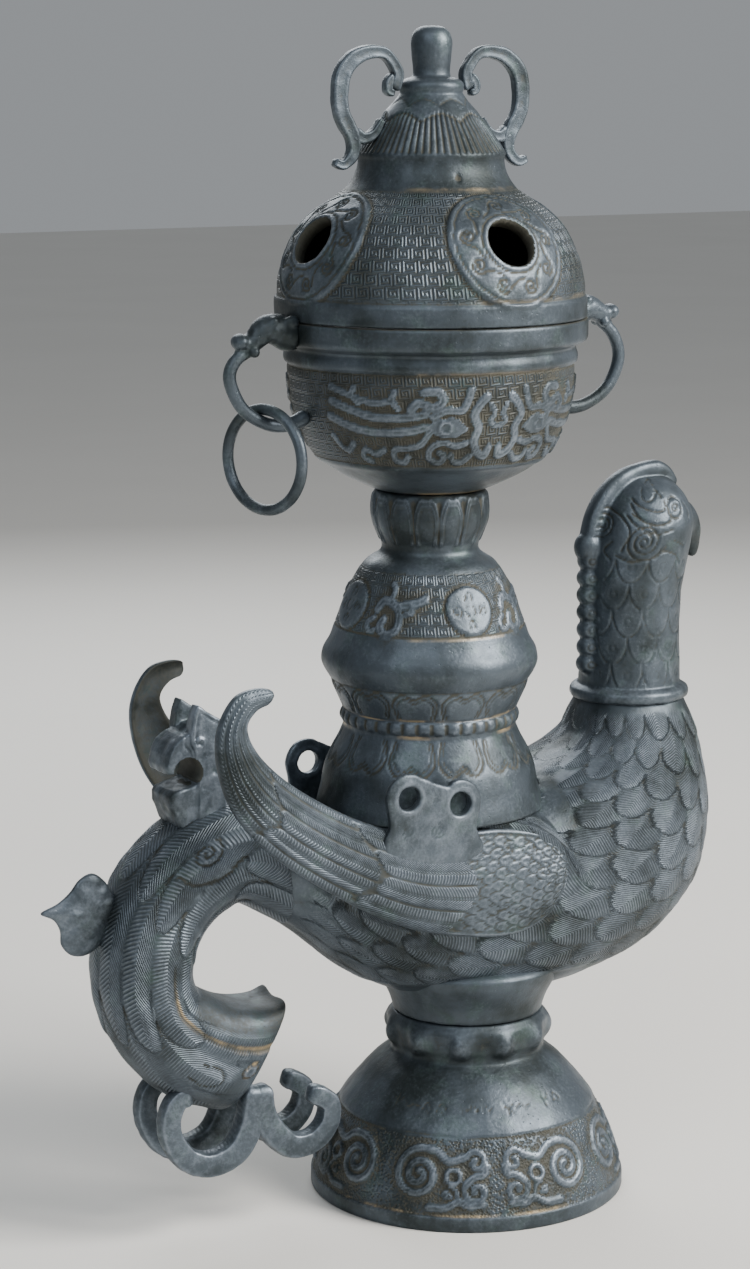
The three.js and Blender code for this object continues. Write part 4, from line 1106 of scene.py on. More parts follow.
@dataclass
class Stem:
    """Bell, bead ring, bulb and lotus collar in one casting."""

    beads: int = 38
    layout: float = 45.0

    def creature(self, drawing: Drawing, x: float, y: float, side: int) -> None:
        """Draws the band's small winding creature with a crested head and a hooked body.

        Args:
            drawing: Where it is drawn.
            x: Its middle, across.
            y: Its middle, upwards.
            side: 1 to face right and -1 to face left.
        """
        def lay(points: list, width: float) -> None:
            """Lays one limb of the creature with its centre groove.

            Args:
                points: Its bends from the creature's middle.
                width: Its width in millimetres.
            """
            line = bend(points, 20)
            line = np.stack([x + side * line[:, 0], y + line[:, 1]], 1)
            drawing.line(line, width * 1.5, 0.85)
            drawing.line(line, 0.7, -0.5)
        lay([(15, 5.5), (11, 3.8), (6, 3.0), (0, 2.2), (-4, 4.0), (-8.5, 3.6), (-11, 0.5)], 3.0)
        lay([(0, 2.2), (2.0, -3.0), (0.5, -8.0), (-4.5, -9.6), (-8.0, -6.5), (-6.5, -3.6)], 2.8)
        lay([(-4, 4), (-2.6, 8.6), (-4.4, 10.8)], 2.2)
        lay([(6, 3.0), (8.5, 0.2), (4.5, -1.0)], 1.8)
        lay([(-12, -3), (-15.5, -5.5), (-13.5, -9), (-10.5, -8)], 1.8)

    def build(self) -> None:
        """Builds and dresses the stem."""
        bell = [[50.0, 177.2], [49.2, 181.5], [47.7, 187.5], [46.7, 193.0], [45.3, 198.0], [42.8, 203.5],
                [40.0, 208.6], [38.0, 213.0]]
        ring = [[37.8, 214.6], [38.3, 215.2], [39.2, 217.6], [38.4, 220.4], [37.6, 221.0]]
        bulb = [[38.2, 221.6], [40.4, 226.4], [42.6, 231.4], [43.6, 234.6], [46.0, 238.6], [47.4, 242.8],
                [46.6, 247.4], [43.8, 252.4],
                [41.7, 258.1], [36.6, 271.4], [31.4, 281.6], [27.6, 286.2], [22.6, 289.4], [21.1, 291.6],
                [21.3, 294.4]]
        lotus = [[21.3, 294.4], [23.4, 298.6], [25.2, 303.2], [25.8, 307.6], [25.4, 312.4], [24.4, 316.4]]
        outline = profile_of(run([[0, 177.2], [50.0, 177.2]], 8, False), run(bell, 1.05), run(ring, 0.8),
                             run(bulb, 1.0), run(lotus, 1.0), run([[24.4, 316.4], [23.8, 316.9]], 0.5, False),
                             run([[23.8, 316.9], [0, 316.9]], 6, False))
        skin = Turned(outline, STEM_X, 330)
        z, turns = skin.heights, skin.turns
        drawing = Drawing(2 * math.pi * self.layout, 145.0)
        low = 175.0
        petals(drawing, self.layout, 12, 198.2 - low, 212.0 - low, -100.5, 2.6, down=True)
        petals(drawing, self.layout, 12, 222.4 - low, 233.6 - low, -99.0, 2.4)
        petals(drawing, self.layout, 14, 295.2 - low, 314.6 - low, -98.0, 0.0, line=1.5, lift=0.55)
        for k in range(4):
            self.creature(drawing, math.radians((-142.0 + 90 * k) % 360) * self.layout, 268.6 - low, 1)
        edge = np.linspace(0, drawing.wide, 100)
        for height, depth in ((258.2, -0.5), (284.0, -0.5), (197.4, -0.4), (234.6, -0.35)):
            drawing.line(np.stack([edge, 0 * edge + height - low], 1), 0.8, depth)
        for height in (214.2, 221.3):
            drawing.brass(np.stack([edge, 0 * edge + height - low + 0.3 * np.sin(edge / 9)], 1), 0.7)
        part = np.linspace(math.radians(225), math.radians(290), 30) * self.layout
        drawing.brass(np.stack([part, 0 * part + 257.2 - low], 1), 0.45)
        u = (turns % (2 * math.pi)) * self.layout
        lift = drawing.relief(u, z - low)
        bead = np.abs(np.cos(self.beads * turns / 2)) ** 0.35
        lift = lift + (1.5 * bead - 1.3) * smooth(214.9, 215.7, z) * (1 - smooth(219.9, 220.7, z))
        swell = np.abs(np.cos(7 * (turns - math.radians(-98)))) ** 0.5
        lift = lift + (1.3 * swell - 1.2) * smooth(294.5, 300, z) * (1 - smooth(312.0, 316.0, z))
        disc, petal = np.zeros_like(z), drawing.read(u, z - low, drawing.raised)
        for k in range(4):
            middle = math.radians(-93 + 90 * k)
            away = (turns - middle + math.pi) % (2 * math.pi) - math.pi
            radius = skin.r[:, None] * np.ones_like(z)
            x, y = away * radius, (z - 268.7) / 0.93
            reach = np.hypot(x, y)
            face = Drawing(26, 26, 0.2, False)
            face.line(circle(13, 13, 2.5), 0.6, -0.45)
            for n in range(4):
                angle = math.radians(90 * n + 90)
                face.line(spiral(13 + 6.2 * math.cos(angle), 13 + 6.2 * math.sin(angle), 2.4, 1.3,
                                 90 * n + 200), 0.6, -0.45)
            flat = smooth(11.0, 10.3, reach) * (np.abs(away) < 0.6)
            lift = np.where(reach < 11.4, 0.9 * flat + face.relief(x + 13, y + 13) * flat, lift)
            lift = np.where((reach >= 11.0) & (reach < 12.0) & (np.abs(away) < 0.6), lift - 0.35, lift)
            disc = np.maximum(disc, flat)
        lift = lift * (skin.out[:, :1] > -0.3) * (skin.r[:, None] > 20)
        ground = smooth(258.2, 259, z) * (1 - smooth(283.2, 284, z)) * (1 - disc) * (petal < 0.2)
        relief = tone_of(lift - 0.6 * disc, 1.1) - 0.10 * ground
        fine = np.stack([u / 6.4, (z - low) / 5.2, 0.6 * ground], 2)
        worn = drawing.read(u, z - low, drawing.worn)
        places = skin.places(lift)
        lump = grain(places.reshape(-1, 3), 14.0, 5).reshape(lift.shape)
        places = skin.places(lift + 0.12 * lump * (skin.r[:, None] > 20))
        places[..., 2] = np.clip(places[..., 2], 177.15, 316.95)
        dress(sheet("carved_stem", places, relief, worn, fine), "stem", Fine.DIAPER)


@dataclass
class Bowl:
    """The round bowl with its masked band, hollow inside."""

    layout: float = 62.0
    mask_turn: float = -92.0

    def beast(self, drawing: Drawing, middle: float, side: int) -> None:
        """Draws half a mask: ringed eye, brow, horn, jaw scrolls and the long body that runs from it.

        Args:
            drawing: Where it is drawn.
            middle: Place of the mask's mirror line.
            side: 1 for its right half and -1 for its left.
        """
        def lay(points: list | Field, width: float = 2.4, lift: float = 1.1, core: bool = True,
                steps: int = 30) -> None:
            """Lays one limb of the mask.

            Args:
                points: Its bends, or its whole line.
                width: Its width in millimetres.
                lift: Its height.
                core: Whether a groove runs along its middle.
                steps: How many places the bends are drawn with.
            """
            line = bend(points, steps) if isinstance(points, list) else points
            line = np.stack([middle + side * line[:, 0], line[:, 1]], 1)
            drawing.line(line, width * 1.45 if core else width, lift)
            if core:
                drawing.line(line, 0.7, -0.6)
        eye = bend([(14, 19.5), (19, 24.0), (26, 23.6), (31, 21.0), (27, 17.2), (20, 16.2), (14, 19.5)], 30)
        drawing.area(np.stack([middle + side * eye[:, 0], eye[:, 1]], 1), 0.7, 0.8)
        lay(eye, 1.0, 1.1, False)
        lay(circle(23.5, 20.4, 2.5), 1.2, 1.7, False)
        lay(circle(23.5, 20.4, 0.8), 1.0, 0.6, False)
        lay([(6, 33), (9.0, 30.0), (11.5, 25.0), (9.0, 20.0), (10.5, 14.5), (8.0, 9.5), (4.0, 7.6),
             (2.6, 11.0)], 3.0)
        lay([(13, 36), (14.5, 31.0), (17, 27.4), (23, 27.6), (29, 25.0)], 2.6)
        lay([(33, 35), (27.5, 35.5), (25.0, 31.6), (29.0, 29.0), (35.0, 30.6), (38.5, 28.0)], 3.0)
        lay([(14, 13.5), (19, 12.2), (24.0, 13.8), (29.5, 12.0), (31.0, 7.4), (26.5, 5.0), (23.4, 7.6),
             (26.0, 9.4)], 2.4)
        lay([(11, 8), (15, 5.0), (19.0, 5.4), (20.5, 8.4)], 2.2)
        lay([(31, 17.4), (34.5, 13.0), (40, 11.4), (47, 10.4), (47.5, 6.0), (43.0, 4.8), (41.0, 7.4)], 2.2)
        lay([(32, 26.0), (40.0, 24.6), (54, 24.2), (66, 27.0), (76, 30.0)], 2.9, 0.9)
        lay([(32, 20.5), (40.0, 18.6), (54, 17.8), (66, 19.5), (78, 23.5)], 2.9, 0.9)
        lay([(46, 31.2), (56.0, 30.4), (66, 33.0), (76, 36.0)], 2.2, 0.9)
        lay([(44, 28.0), (46.5, 31.5), (45.5, 35.0)], 2.2)
        lay([(62, 30.0), (65.0, 33.0), (64.0, 36.0)], 2.2)
        lay([(52, 10.0), (57.0, 8.0), (62, 10.0), (64.0, 6.4), (60.0, 4.6)], 2.0)
        lay([(68, 12.0), (72.0, 9.0), (76.0, 11.0), (79.0, 15.0)], 2.0)
        lay([(1.0, 20.5), (3.6, 22.5), (2.0, 26.0), (4.0, 30.0)], 1.6, 0.9)

    def build(self) -> None:
        """Builds and dresses the bowl."""
        under = [[24.4, 317.9], [27.0, 318.8], [37.5, 323.6], [46.0, 329.0], [50.8, 332.6], [56.9, 343.7],
                 [60.4, 354.0], [61.9, 366.0], [62.2, 372.6]]
        step = [[62.2, 372.6], [63.2, 373.4], [63.4, 376.0], [62.6, 378.4], [63.0, 380.0], [66.6, 381.8],
                [67.5, 383.0], [67.7, 386.0], [67.7, 390.9], [67.2, 391.3]]
        inner = [[59.6, 391.3], [59.2, 390.6], [58.6, 372.0], [57.0, 356.0], [53.0, 342.0], [46.0, 332.0],
                 [34.0, 325.0], [18.0, 322.4], [0, 322.2]]
        outline = profile_of(run([[0, 317.5], [24.0, 317.5]], 6, False), run([[24.0, 317.5]] + under, 0.95),
                             run(step, 1.1), run([[67.2, 391.3], [59.6, 391.3]], 2, False), run(inner, 3.5))
        skin = Turned(outline, STEM_X, 400)
        z, turns = skin.heights, skin.turns
        drawing = Drawing(2 * math.pi * self.layout, 66.0)
        low = 330.0
        for k in range(2):
            middle = math.radians((self.mask_turn + 180 * k) % 360) * self.layout
            for side in (-1, 1):
                self.beast(drawing, middle, side)
        edge = np.linspace(0, drawing.wide, 100)
        for height, depth in ((372.0, -0.5), (332.6, -0.5)):
            drawing.line(np.stack([edge, 0 * edge + height - low], 1), 0.9, depth)
        part = np.linspace(math.radians(235), math.radians(300), 30) * self.layout
        drawing.brass(np.stack([part, 0 * part + 372.8 - low], 1), 0.45)
        outer = skin.along[:, None] < skin.along[np.argmax(skin.z)]
        u = (turns % (2 * math.pi)) * self.layout
        on = outer * smooth(331.5, 333.5, z) * (1 - smooth(371.6, 372.6, z))
        shape = drawing.relief(u, z - low)
        lift = np.where(outer, shape * smooth(331, 332, z) * (1 - smooth(373, 374, z)), 0.0) - 0.25 * on
        raised = drawing.read(u, z - low, drawing.raised)
        ground = on * (raised < 0.2)
        places = skin.places(lift)
        lump = grain(places.reshape(-1, 3), 16.0, 8).reshape(lift.shape)
        places = skin.places(lift + 0.12 * lump * outer * (z < 385))
        relief = tone_of(lift, 1.3) - 0.14 * ground - 0.3 * (1 - outer)
        worn = drawing.read(u, z - low, drawing.worn) * outer
        worn = np.maximum(worn, 0.8 * outer * (1 - smooth(318.2, 318.9, z)) * (np.cos(turns + 1.2) > 0.2))
        fine = np.stack([u / 6.0, skin.along[:, None] / 5.4 + 0 * u, ground], 2)
        dress(sheet("carved_bowl", places, relief, worn, fine), "bowl", Fine.DIAPER)


@dataclass
class Lid:
    """The pierced dome with four medallions, its fluted cone and the knob finial."""

    hole: float = 11.0
    turn: float = 4.0
    tilt: float = 32.0
    reach: float = 60.8
    height: float = 426.9

    def face(self) -> Drawing:
        """Draws one medallion: two rings and nine linked spirals.

        Returns:
            The drawing, with its middle at the middle of the canvas.
        """
        face = Drawing(60, 60, 0.2, False)
        face.line(circle(30, 30, 24.6), 0.9, -0.6)
        face.line(circle(30, 30, 13.4), 0.9, -0.55)
        face.line(circle(30, 30, 12.0), 1.8, 0.5)
        for n in range(9):
            angle = 40 * n + 6
            x, y = 30 + 19.0 * math.cos(math.radians(angle)), 30 + 19.0 * math.sin(math.radians(angle))
            face.line(spiral(x, y, 3.7, 1.55, angle + 100, -1, 0.7), 1.1, -0.85)
            turn = math.radians(angle + 20)
            start = [x + 3.7 * math.cos(math.radians(angle + 100)),
                     y + 3.7 * math.sin(math.radians(angle + 100))]
            hook = [30 + 16.4 * math.cos(turn), 30 + 16.4 * math.sin(turn)]
            far = [30 + 15.4 * math.cos(turn + 0.28), 30 + 15.4 * math.sin(turn + 0.28)]
            face.line(bend([start, hook, far], 10), 1.0, -0.75)
        return face

    def build(self) -> None:
        """Builds, pierces and dresses the lid."""
        dome = [[67.2, 392.4], [67.2, 399.8], [66.4, 401.4], [65.9, 406.6], [64.0, 415.5], [60.1, 424.0],
                [55.6, 431.0], [49.6, 436.8], [43.2, 441.2], [38.0, 445.0]]
        waist = [[38.0, 445.0], [35.4, 447.6], [33.4, 450.6], [32.0, 453.8], [31.4, 456.6], [31.3, 458.8],
                 [31.9, 460.6]]
        cone = [[31.9, 460.6], [31.0, 462.4], [26.0, 469.6], [20.2, 477.6], [14.6, 484.2], [13.2, 486.2]]
        knob = [[13.2, 486.2], [13.9, 488.2], [13.6, 490.4], [10.8, 492.2], [8.2, 493.0], [7.8, 496.4],
                [8.5, 501.6], [8.7, 507.6], [7.6, 511.4], [4.6, 513.7], [0, 514.1]]
        inner = [[0, 476.0], [10, 475.8], [24, 457.0], [29.0, 446.0], [38.0, 438.4], [50.0, 430.0],
                 [58.6, 418.0], [62.6, 404.0], [63.6, 393.0]]
        outline = profile_of(run(inner, 3.0), run([[63.6, 393.0], [64.0, 391.8]], 1, False),
                             run([[64.0, 391.8], [66.8, 391.8]], 1.4, False),
                             run([[66.8, 391.8], dome[0]], 0.5, False), run(dome, 0.95), run(waist, 1.4),
                             run(cone, 0.95), run(knob, 1.5))
        skin = Turned(outline, STEM_X, 400)
        z, turns = skin.heights, skin.turns
        outer = (skin.along > skin.along[np.argmin(skin.z)])[:, None]
        away = (turns - math.radians(self.turn) + math.pi / 4) % (math.pi / 2) - math.pi / 4
        x = skin.r[:, None] * np.sin(away)
        plan = skin.r[:, None] * np.cos(away) - self.reach
        lean = math.radians(self.tilt)
        y = (z - self.height) * math.cos(lean) - plan * math.sin(lean)
        ring = np.hypot(x, y)
        face = self.face()
        flat = smooth(27.2, 26.4, ring) * outer * (z < 447) * (z > 397)
        lift = flat * (1.0 + face.relief(x + 30, y + 30))
        lift = lift - 0.35 * np.exp(-(((ring - 27.8) / 0.6) ** 2)) * outer * (z < 446) * (z > 401)
        flutes = np.abs(np.cos(32 * turns)) ** 0.6
        low_leaf = 474.5 + 3.4 * np.abs(np.cos(4 * (turns + 1.9)))
        fluted = smooth(461.0, 462.4, z) * (1 - smooth(0.0, 0.6, z - low_leaf)) * outer
        lift = lift + fluted * (0.9 * flutes - 0.9)
        leaf = np.exp(-(((z - low_leaf) / 0.5) ** 2)) * outer * (z > 470)
        lift = lift - 0.5 * leaf
        upper = 481.0 + 2.6 * np.abs(np.cos(4 * (turns + 1.9) + math.pi / 2))
        lift = lift - 0.35 * np.exp(-(((z - upper) / 0.5) ** 2)) * outer * (z > 474)
        seam = np.exp(-(((z - 446.2) / 0.6) ** 2)) + np.exp(-(((z - 401.6) / 0.6) ** 2))
        lift = lift - 0.3 * seam * outer
        spot = np.hypot((turns - math.radians(-100)) * 33, z - 451.5)
        lift = lift - 1.2 * np.exp(-((spot / 1.1) ** 2)) * outer
        ground = (smooth(402.0, 403.0, z) * (1 - smooth(444.6, 445.6, z)) * (1 - smooth(27.6, 26.8, ring))
                  * outer)
        places = skin.places(lift)
        lump = grain(places.reshape(-1, 3), 15.0, 9).reshape(lift.shape)
        places = skin.places(lift + 0.13 * lump * outer * (z > 394) * (z < 508))
        relief = tone_of(lift - 0.7 * flat, 1.1) - 0.10 * ground - 0.35 * (1 - outer)
        worn = outer * (0.8 * np.exp(-(((z - 446.6) / 0.35) ** 2)) * smooth(0.6, 0.9, np.cos(turns + 1.6))
                        + 0.8 * np.exp(-(((z - 402.2) / 0.35) ** 2)) * smooth(0.5, 0.8, np.cos(turns + 0.9)))
        fine = np.stack([turns * 62 / 2 / math.pi, skin.along[:, None] / 5.6 + 0 * turns, ground], 2)
        lid = sheet("carved_lid", places, relief, worn, fine)
        cutters = []
        for k in range(2):
            for sign in (1, -1):
                turn = math.radians(self.turn + 90 * k + (180 if sign < 0 else 0))
                deselect()
                bpy.ops.mesh.primitive_cylinder_add(
                    vertices=96, radius=self.hole * MM, depth=0.036, rotation=(0, math.pi / 2 - lean, turn),
                    location=((STEM_X + self.reach * math.cos(turn)) * MM, self.reach * math.sin(turn) * MM,
                              self.height * MM))
                cutters.append(bpy.context.object)
        carve(lid, cutters)
        dress(lid, "lid", Fine.DIAPER)


@dataclass
class Studio:
    """Pale floor, soft lights and the camera at the photograph's place, in metres and degrees."""

    floor_size: float = 14.0
    lens: float = 90.78
    eye: tuple = (-0.70803, -1.19199, 0.50603)
    pitch: float = 79.562
    heading: float = -29.0
    air: tuple = (0.78, 0.82, 0.86, 1)
    air_strength: float = 0.38
    aim_height: float = 0.27

    def build(self) -> None:
        """Builds the studio."""
        deselect()
        bpy.ops.mesh.primitive_plane_add(size=self.floor_size, location=(0, 0, 0))
        floor = bpy.context.object
        floor.name = "floor"
        r = Recipe("floor_pale")
        tint = r.mix(r.noise(r.put("TexCoord", out="Object"), 3.0), (0.72, 0.70, 0.66, 1),
                     (0.78, 0.76, 0.72, 1))
        r.put("OutputMaterial", {0: r.put("BsdfPrincipled", {"Base Color": tint, "Roughness": 0.85})})
        floor.data.materials.append(r.material)
        world = bpy.data.worlds.new("studio")
        bpy.context.scene.world = world
        world.use_nodes = True
        world.node_tree.nodes["Background"].inputs[0].default_value = self.air
        world.node_tree.nodes["Background"].inputs[1].default_value = self.air_strength
        self.light("key", (0.95, -1.05, 1.15), 0.8, 56.0, (1.0, 0.97, 0.93))
        self.light("sky", (-0.9, -0.9, 1.3), 1.2, 8.0, (0.9, 0.95, 1.0))
        self.light("rear", (0.5, 1.3, 1.1), 1.0, 16.0, (0.95, 0.98, 1.0))
        camera_data = bpy.data.cameras.new("camera")
        camera_data.lens = self.lens
        camera_data.sensor_width = 36.0
        camera = bpy.data.objects.new("camera", camera_data)
        bpy.context.scene.collection.objects.link(camera)
        camera.location = (self.eye[0] + FOOT_X * MM, self.eye[1], self.eye[2])
        camera.rotation_euler = (math.radians(self.pitch), 0, math.radians(self.heading))
        bpy.context.scene.camera = camera

    def light(self, name: str, place: tuple, size: float, power: float, colour: tuple) -> None:
        """Hangs one soft square light that faces the burner's middle.

        Args:
            name: The light's name.
            place: Where it hangs, in metres.
            size: Length of its sides.
            power: Watts.
            colour: Its colour.
        """
        data = bpy.data.lights.new(name, "AREA")
        data.size, data.energy, data.color = size, power, colour
        lamp = bpy.data.objects.new(name, data)
        bpy.context.scene.collection.objects.link(lamp)
        lamp.location = place
        way = np.array([0, 0, self.aim_height]) - np.array(place)
        way /= np.linalg.norm(way)
        lamp.rotation_euler = (math.acos(-way[2]), 0, math.atan2(way[1], way[0]) - math.pi / 2)


# Bird

BIRD_Z = 81.8


def bird_x(share: float) -> float:
    """A place along the bird, as a share of its length, in the frame's millimetres.

    Args:
        share: Share of the length from the foot's axis.

    Returns:
        The place in millimetres.
    """
    return FOOT_X + 300.0 * share


def bird_z(share: float) -> float:
    """A height on the bird, as a share of its height.

    Args:
        share: Share of the height.

    Returns:
        The height in millimetres.
    """
    return BIRD_Z + 150.0 * share


def on_bird(pairs: list) -> Field:
    """Places in the bird's middle plane from shares of its length and height.

    Args:
        pairs: Shares of the length and the height.

    Returns:
        One row for each pair.
    """
    return np.array([[bird_x(x), bird_z(z)] for x, z in pairs])


def ends_of(values: Field) -> Field:
    """Grid values with the first and last rows repeated for the closing rows.

    Args:
        values: A grid of values.

    Returns:
        The grid with two more rows.
    """
    return np.concatenate([values[:1], values, values[-1:]])


@dataclass
class Bird:
    """Neck stub, breast, belly, arched tail and scoop, with the cone below and the leaf on its back."""

    width: float = 97.0
    tail_radius: float = 46.5
    tail_thickness: float = 46.0
    tail_width: float = 50.0
    feathers_from: float = 1.15
    seam: float = 9.6

    def __post_init__(self) -> None:
        """Lays out the sections from the neck to the tail's end."""
        front = [(.21, .92, .35, .92, .43), (.2, .875, .364, .875, .51), (.182, .79, .382, .74, .66),
                 (.128, .73, .39, .54, .86),
                 (.035, .685, .362, .32, .98), (-.075, .655, .272, .15, 1), (-.167, .645, .125, .055, .95),
                 (-.247, .655, -.05, .05, .8), (-.31, .7, -.185, .14, .64), (-.35, .725, -.3, .315, .55)]
        rows = [(bird_x(a), bird_z(b), bird_x(c), bird_z(d), self.width * w) for a, b, c, d, w in front]
        rows += [self.tail_section(turn) for turn in (96, 118, 140, 162, 184, 200)]
        scoop = [(210, -.45, .19, 1), (224, -.415, .148, .96), (238, -.375, .121, .9),
                 (251, -.342, .115, .82), (261, -.322, .128, .74)]
        for turn, x, z, w in scoop:
            back = self.tail_section(turn)
            rows.append((back[0], back[1], bird_x(x), bird_z(z), self.tail_width * w))
        self.rows = np.array(rows)
        self.last = len(rows) - 1
        self.scoop_from = self.last - 5
        self.measure()

    def tail_section(self, turn: float) -> tuple:
        """Back, belly and width of the tail at a turn round its middle.

        Args:
            turn: Degrees round the middle of the arch.

        Returns:
            The back, the belly and the width.
        """
        angle = math.radians(turn)
        half = self.tail_thickness / 2 * (1.04 - 0.17 * abs(math.cos(angle)))
        x, z = bird_x(-.38), bird_z(.27)
        far, near = self.tail_radius + half, self.tail_radius - half
        return (x + far * math.cos(angle), z + far * math.sin(angle), x + near * math.cos(angle),
                z + near * math.sin(angle), self.tail_width)

    def point(self, place: Field, angle: Field, lift: Field | float = 0.0) -> Field:
        """Places on the skin.

        Args:
            place: Position among the sections.
            angle: Turn from the bird's back.
            lift: Height over the plain skin in millimetres.

        Returns:
            The places in millimetres.
        """
        place, angle = np.broadcast_arrays(np.asarray(place, float), angle)
        row = curve(self.rows, place / self.last)
        back, belly = row[..., 0:2], row[..., 2:4]
        centre, radial = (back + belly) / 2, (back - belly) / 2
        cos = np.sign(np.cos(angle)) * np.abs(np.cos(angle)) ** 0.86
        sin = np.sign(np.sin(angle)) * np.abs(np.sin(angle)) ** 0.86
        flat = radial * cos[..., None]
        out = np.stack([flat[..., 0], row[..., 4] / 2 * sin, flat[..., 1]], -1)
        reach = np.linalg.norm(out, axis=-1, keepdims=True)
        out = (out * (1 + np.asarray(lift)[..., None] / np.maximum(reach, 1e-6))
               if np.ndim(lift) else out * (1 + lift / np.maximum(reach, 1e-6)))
        scoop = smooth(self.scoop_from, self.last, place)
        rim = scoop * 0.45 * np.maximum(0, -cos) * sin**2 * np.where(sin > 0, 1.5, 1.0)
        out[..., 0] -= radial[..., 0] * rim
        out[..., 2] -= radial[..., 1] * rim
        out[..., 0] += centre[..., 0]
        out[..., 2] += centre[..., 1]
        return out

    def measure(self) -> None:
        """Works out the distance along the skin at each place."""
        self.scale = np.linspace(0, self.last, 600)
        total = np.zeros(600)
        for turn in (0.0, math.pi / 2, math.pi):
            line = self.point(self.scale, turn)
            total[1:] += np.cumsum(np.linalg.norm(np.diff(line, axis=0), axis=1)) / 3
        self.distance = total

    def grid(self, start: float, end: float, spacing: float, around: int) -> tuple[Field, Field, Field]:
        """Evenly spaced places between two sections: place, distance along and angle.

        Args:
            start: The first section.
            end: The last section.
            spacing: Distance between rows.
            around: Columns in a row.

        Returns:
            The three grids.
        """
        s0, s1 = np.interp([start, end], self.scale, self.distance)
        s = np.linspace(s0, s1, int((s1 - s0) / spacing) + 1)
        place = np.interp(s, self.distance, self.scale)
        angle = np.linspace(0, 2 * math.pi, around + 1)
        return tuple(np.broadcast_to(a, (len(s), around + 1)).astype(float)
                     for a in (place[:, None], s[:, None], angle))

    def near(self, target: tuple, place: Field, angle: Field) -> tuple[int, int]:
        """The grid's row and column nearest to a spot given from the foot's axis.

        Args:
            target: The spot in millimetres, from the foot's axis.
            place: The grid of sections.
            angle: The grid of angles.

        Returns:
            The row and the column.
        """
        away = np.linalg.norm(self.point(place, angle) - (np.array(target) + [FOOT_X, 0, 0]), axis=2)
        return np.unravel_index(int(np.argmin(away)), away.shape)

    def close(self, places: Field) -> Field:
        """Adds a row at either end that brings it to a point.

        Args:
            places: The grid of places.

        Returns:
            The closed grid.
        """
        first = np.broadcast_to(places[:1].mean(1, keepdims=True), places[:1].shape)
        last = np.broadcast_to(places[-1:].mean(1, keepdims=True), places[-1:].shape)
        return np.concatenate([first, places, last])

    def build(self) -> None:
        """Builds and dresses the breast, the tail, the cone and the leaf."""
        self.breast()
        self.tail()
        self.cone()
        self.leaf()

    def breast(self) -> None:
        """The neck stub, breast and belly with their feathers."""
        place, s, angle = self.grid(0, self.seam, 1.04, 228)
        start = np.interp(self.feathers_from, self.scale, self.distance)
        bare = self.point(place, angle)
        x, z = bare[..., 0] - FOOT_X, bare[..., 2]
        rank = Plumage(15.4, 17, 1.75, 0.5, 1.1, 1.3)
        lift, phase, strength = rank.lay(s - start, angle / (2 * math.pi), 17 * 17.0)
        back = smooth(0.9, 0.3, np.minimum(angle, 2 * math.pi - angle) / math.radians(22))
        feathered = smooth(self.feathers_from - 0.2, self.feathers_from + 0.3, place) * (1 - 0.9 * back)
        feathered = feathered * smooth(101.0, 104.0, z) * (1 - smooth(8.2, 9.0, place + 0.4 * np.cos(angle)))
        saddle = smooth(164.0, 171.0, z) * smooth(54, 49, np.abs(x + 20)) * (np.abs(bare[..., 1]) < 46)
        feathered = feathered * (1 - saddle)
        groove = np.abs(np.sin(3.5 * angle + 0.25 * place)) ** 6 * smooth(8.6, 9.2, place)
        lift = lift * feathered - 0.7 * groove
        lump = grain(bare.reshape(-1, 3), 13.0, 21).reshape(s.shape)
        places = self.close(self.point(place, angle, lift + 0.18 * lump - 0.15))
        away = np.hypot(places[..., 0] - STEM_X, places[..., 1])
        skirt = 176.7 - 0.6 * np.maximum(0, away - 49.0) - 0.03 * np.maximum(0, away - 49.0) ** 2
        upper = smooth(140.0, 150.0, places[..., 2])
        bell = np.interp(places[..., 2], [177.2, 181.5, 187.5, 193.0, 198.0], [50.0, 49.2, 47.7, 46.7, 45.3])
        under = np.interp(away, [47.3, 47.4, 47.7, 49.2, 50.0], [176.7, 188.5, 187.0, 181.0, 176.7])
        places[..., 2] = np.where(away < bell + 0.3, np.minimum(places[..., 2], under), places[..., 2])
        places[..., 2] += upper * np.maximum(0, skirt - places[..., 2])
        relief = tone_of(lift, 1.25) + 0.04
        fine = np.stack([phase, angle, strength * feathered], 2)
        dress(sheet("carved_breast", places, ends_of(relief), 0.0, ends_of(fine)), "bird_body", Fine.BARBS)

    def tail(self) -> None:
        """The arched tail with its long feathers and the scooped end."""
        place, s, angle = self.grid(self.seam - 0.35, self.last, 0.88, 180)
        bare = self.point(place, angle)
        start = np.interp(9.0, self.scale, self.distance)
        rank = Plumage(50.0, 10, 1.55, 0.72, 1.0, 1.5)
        lift, phase, strength = rank.lay(s - start + 14 * np.cos(angle), angle / (2 * math.pi) + 0.05, 152.0)
        hollow = (smooth(self.scoop_from - 0.3, self.scoop_from + 1.2, place)
                  * smooth(-0.1, -0.45, np.cos(angle)))
        drawing = Drawing(152.0, 330.0, 0.3)
        s_first = float(s[0, 0])

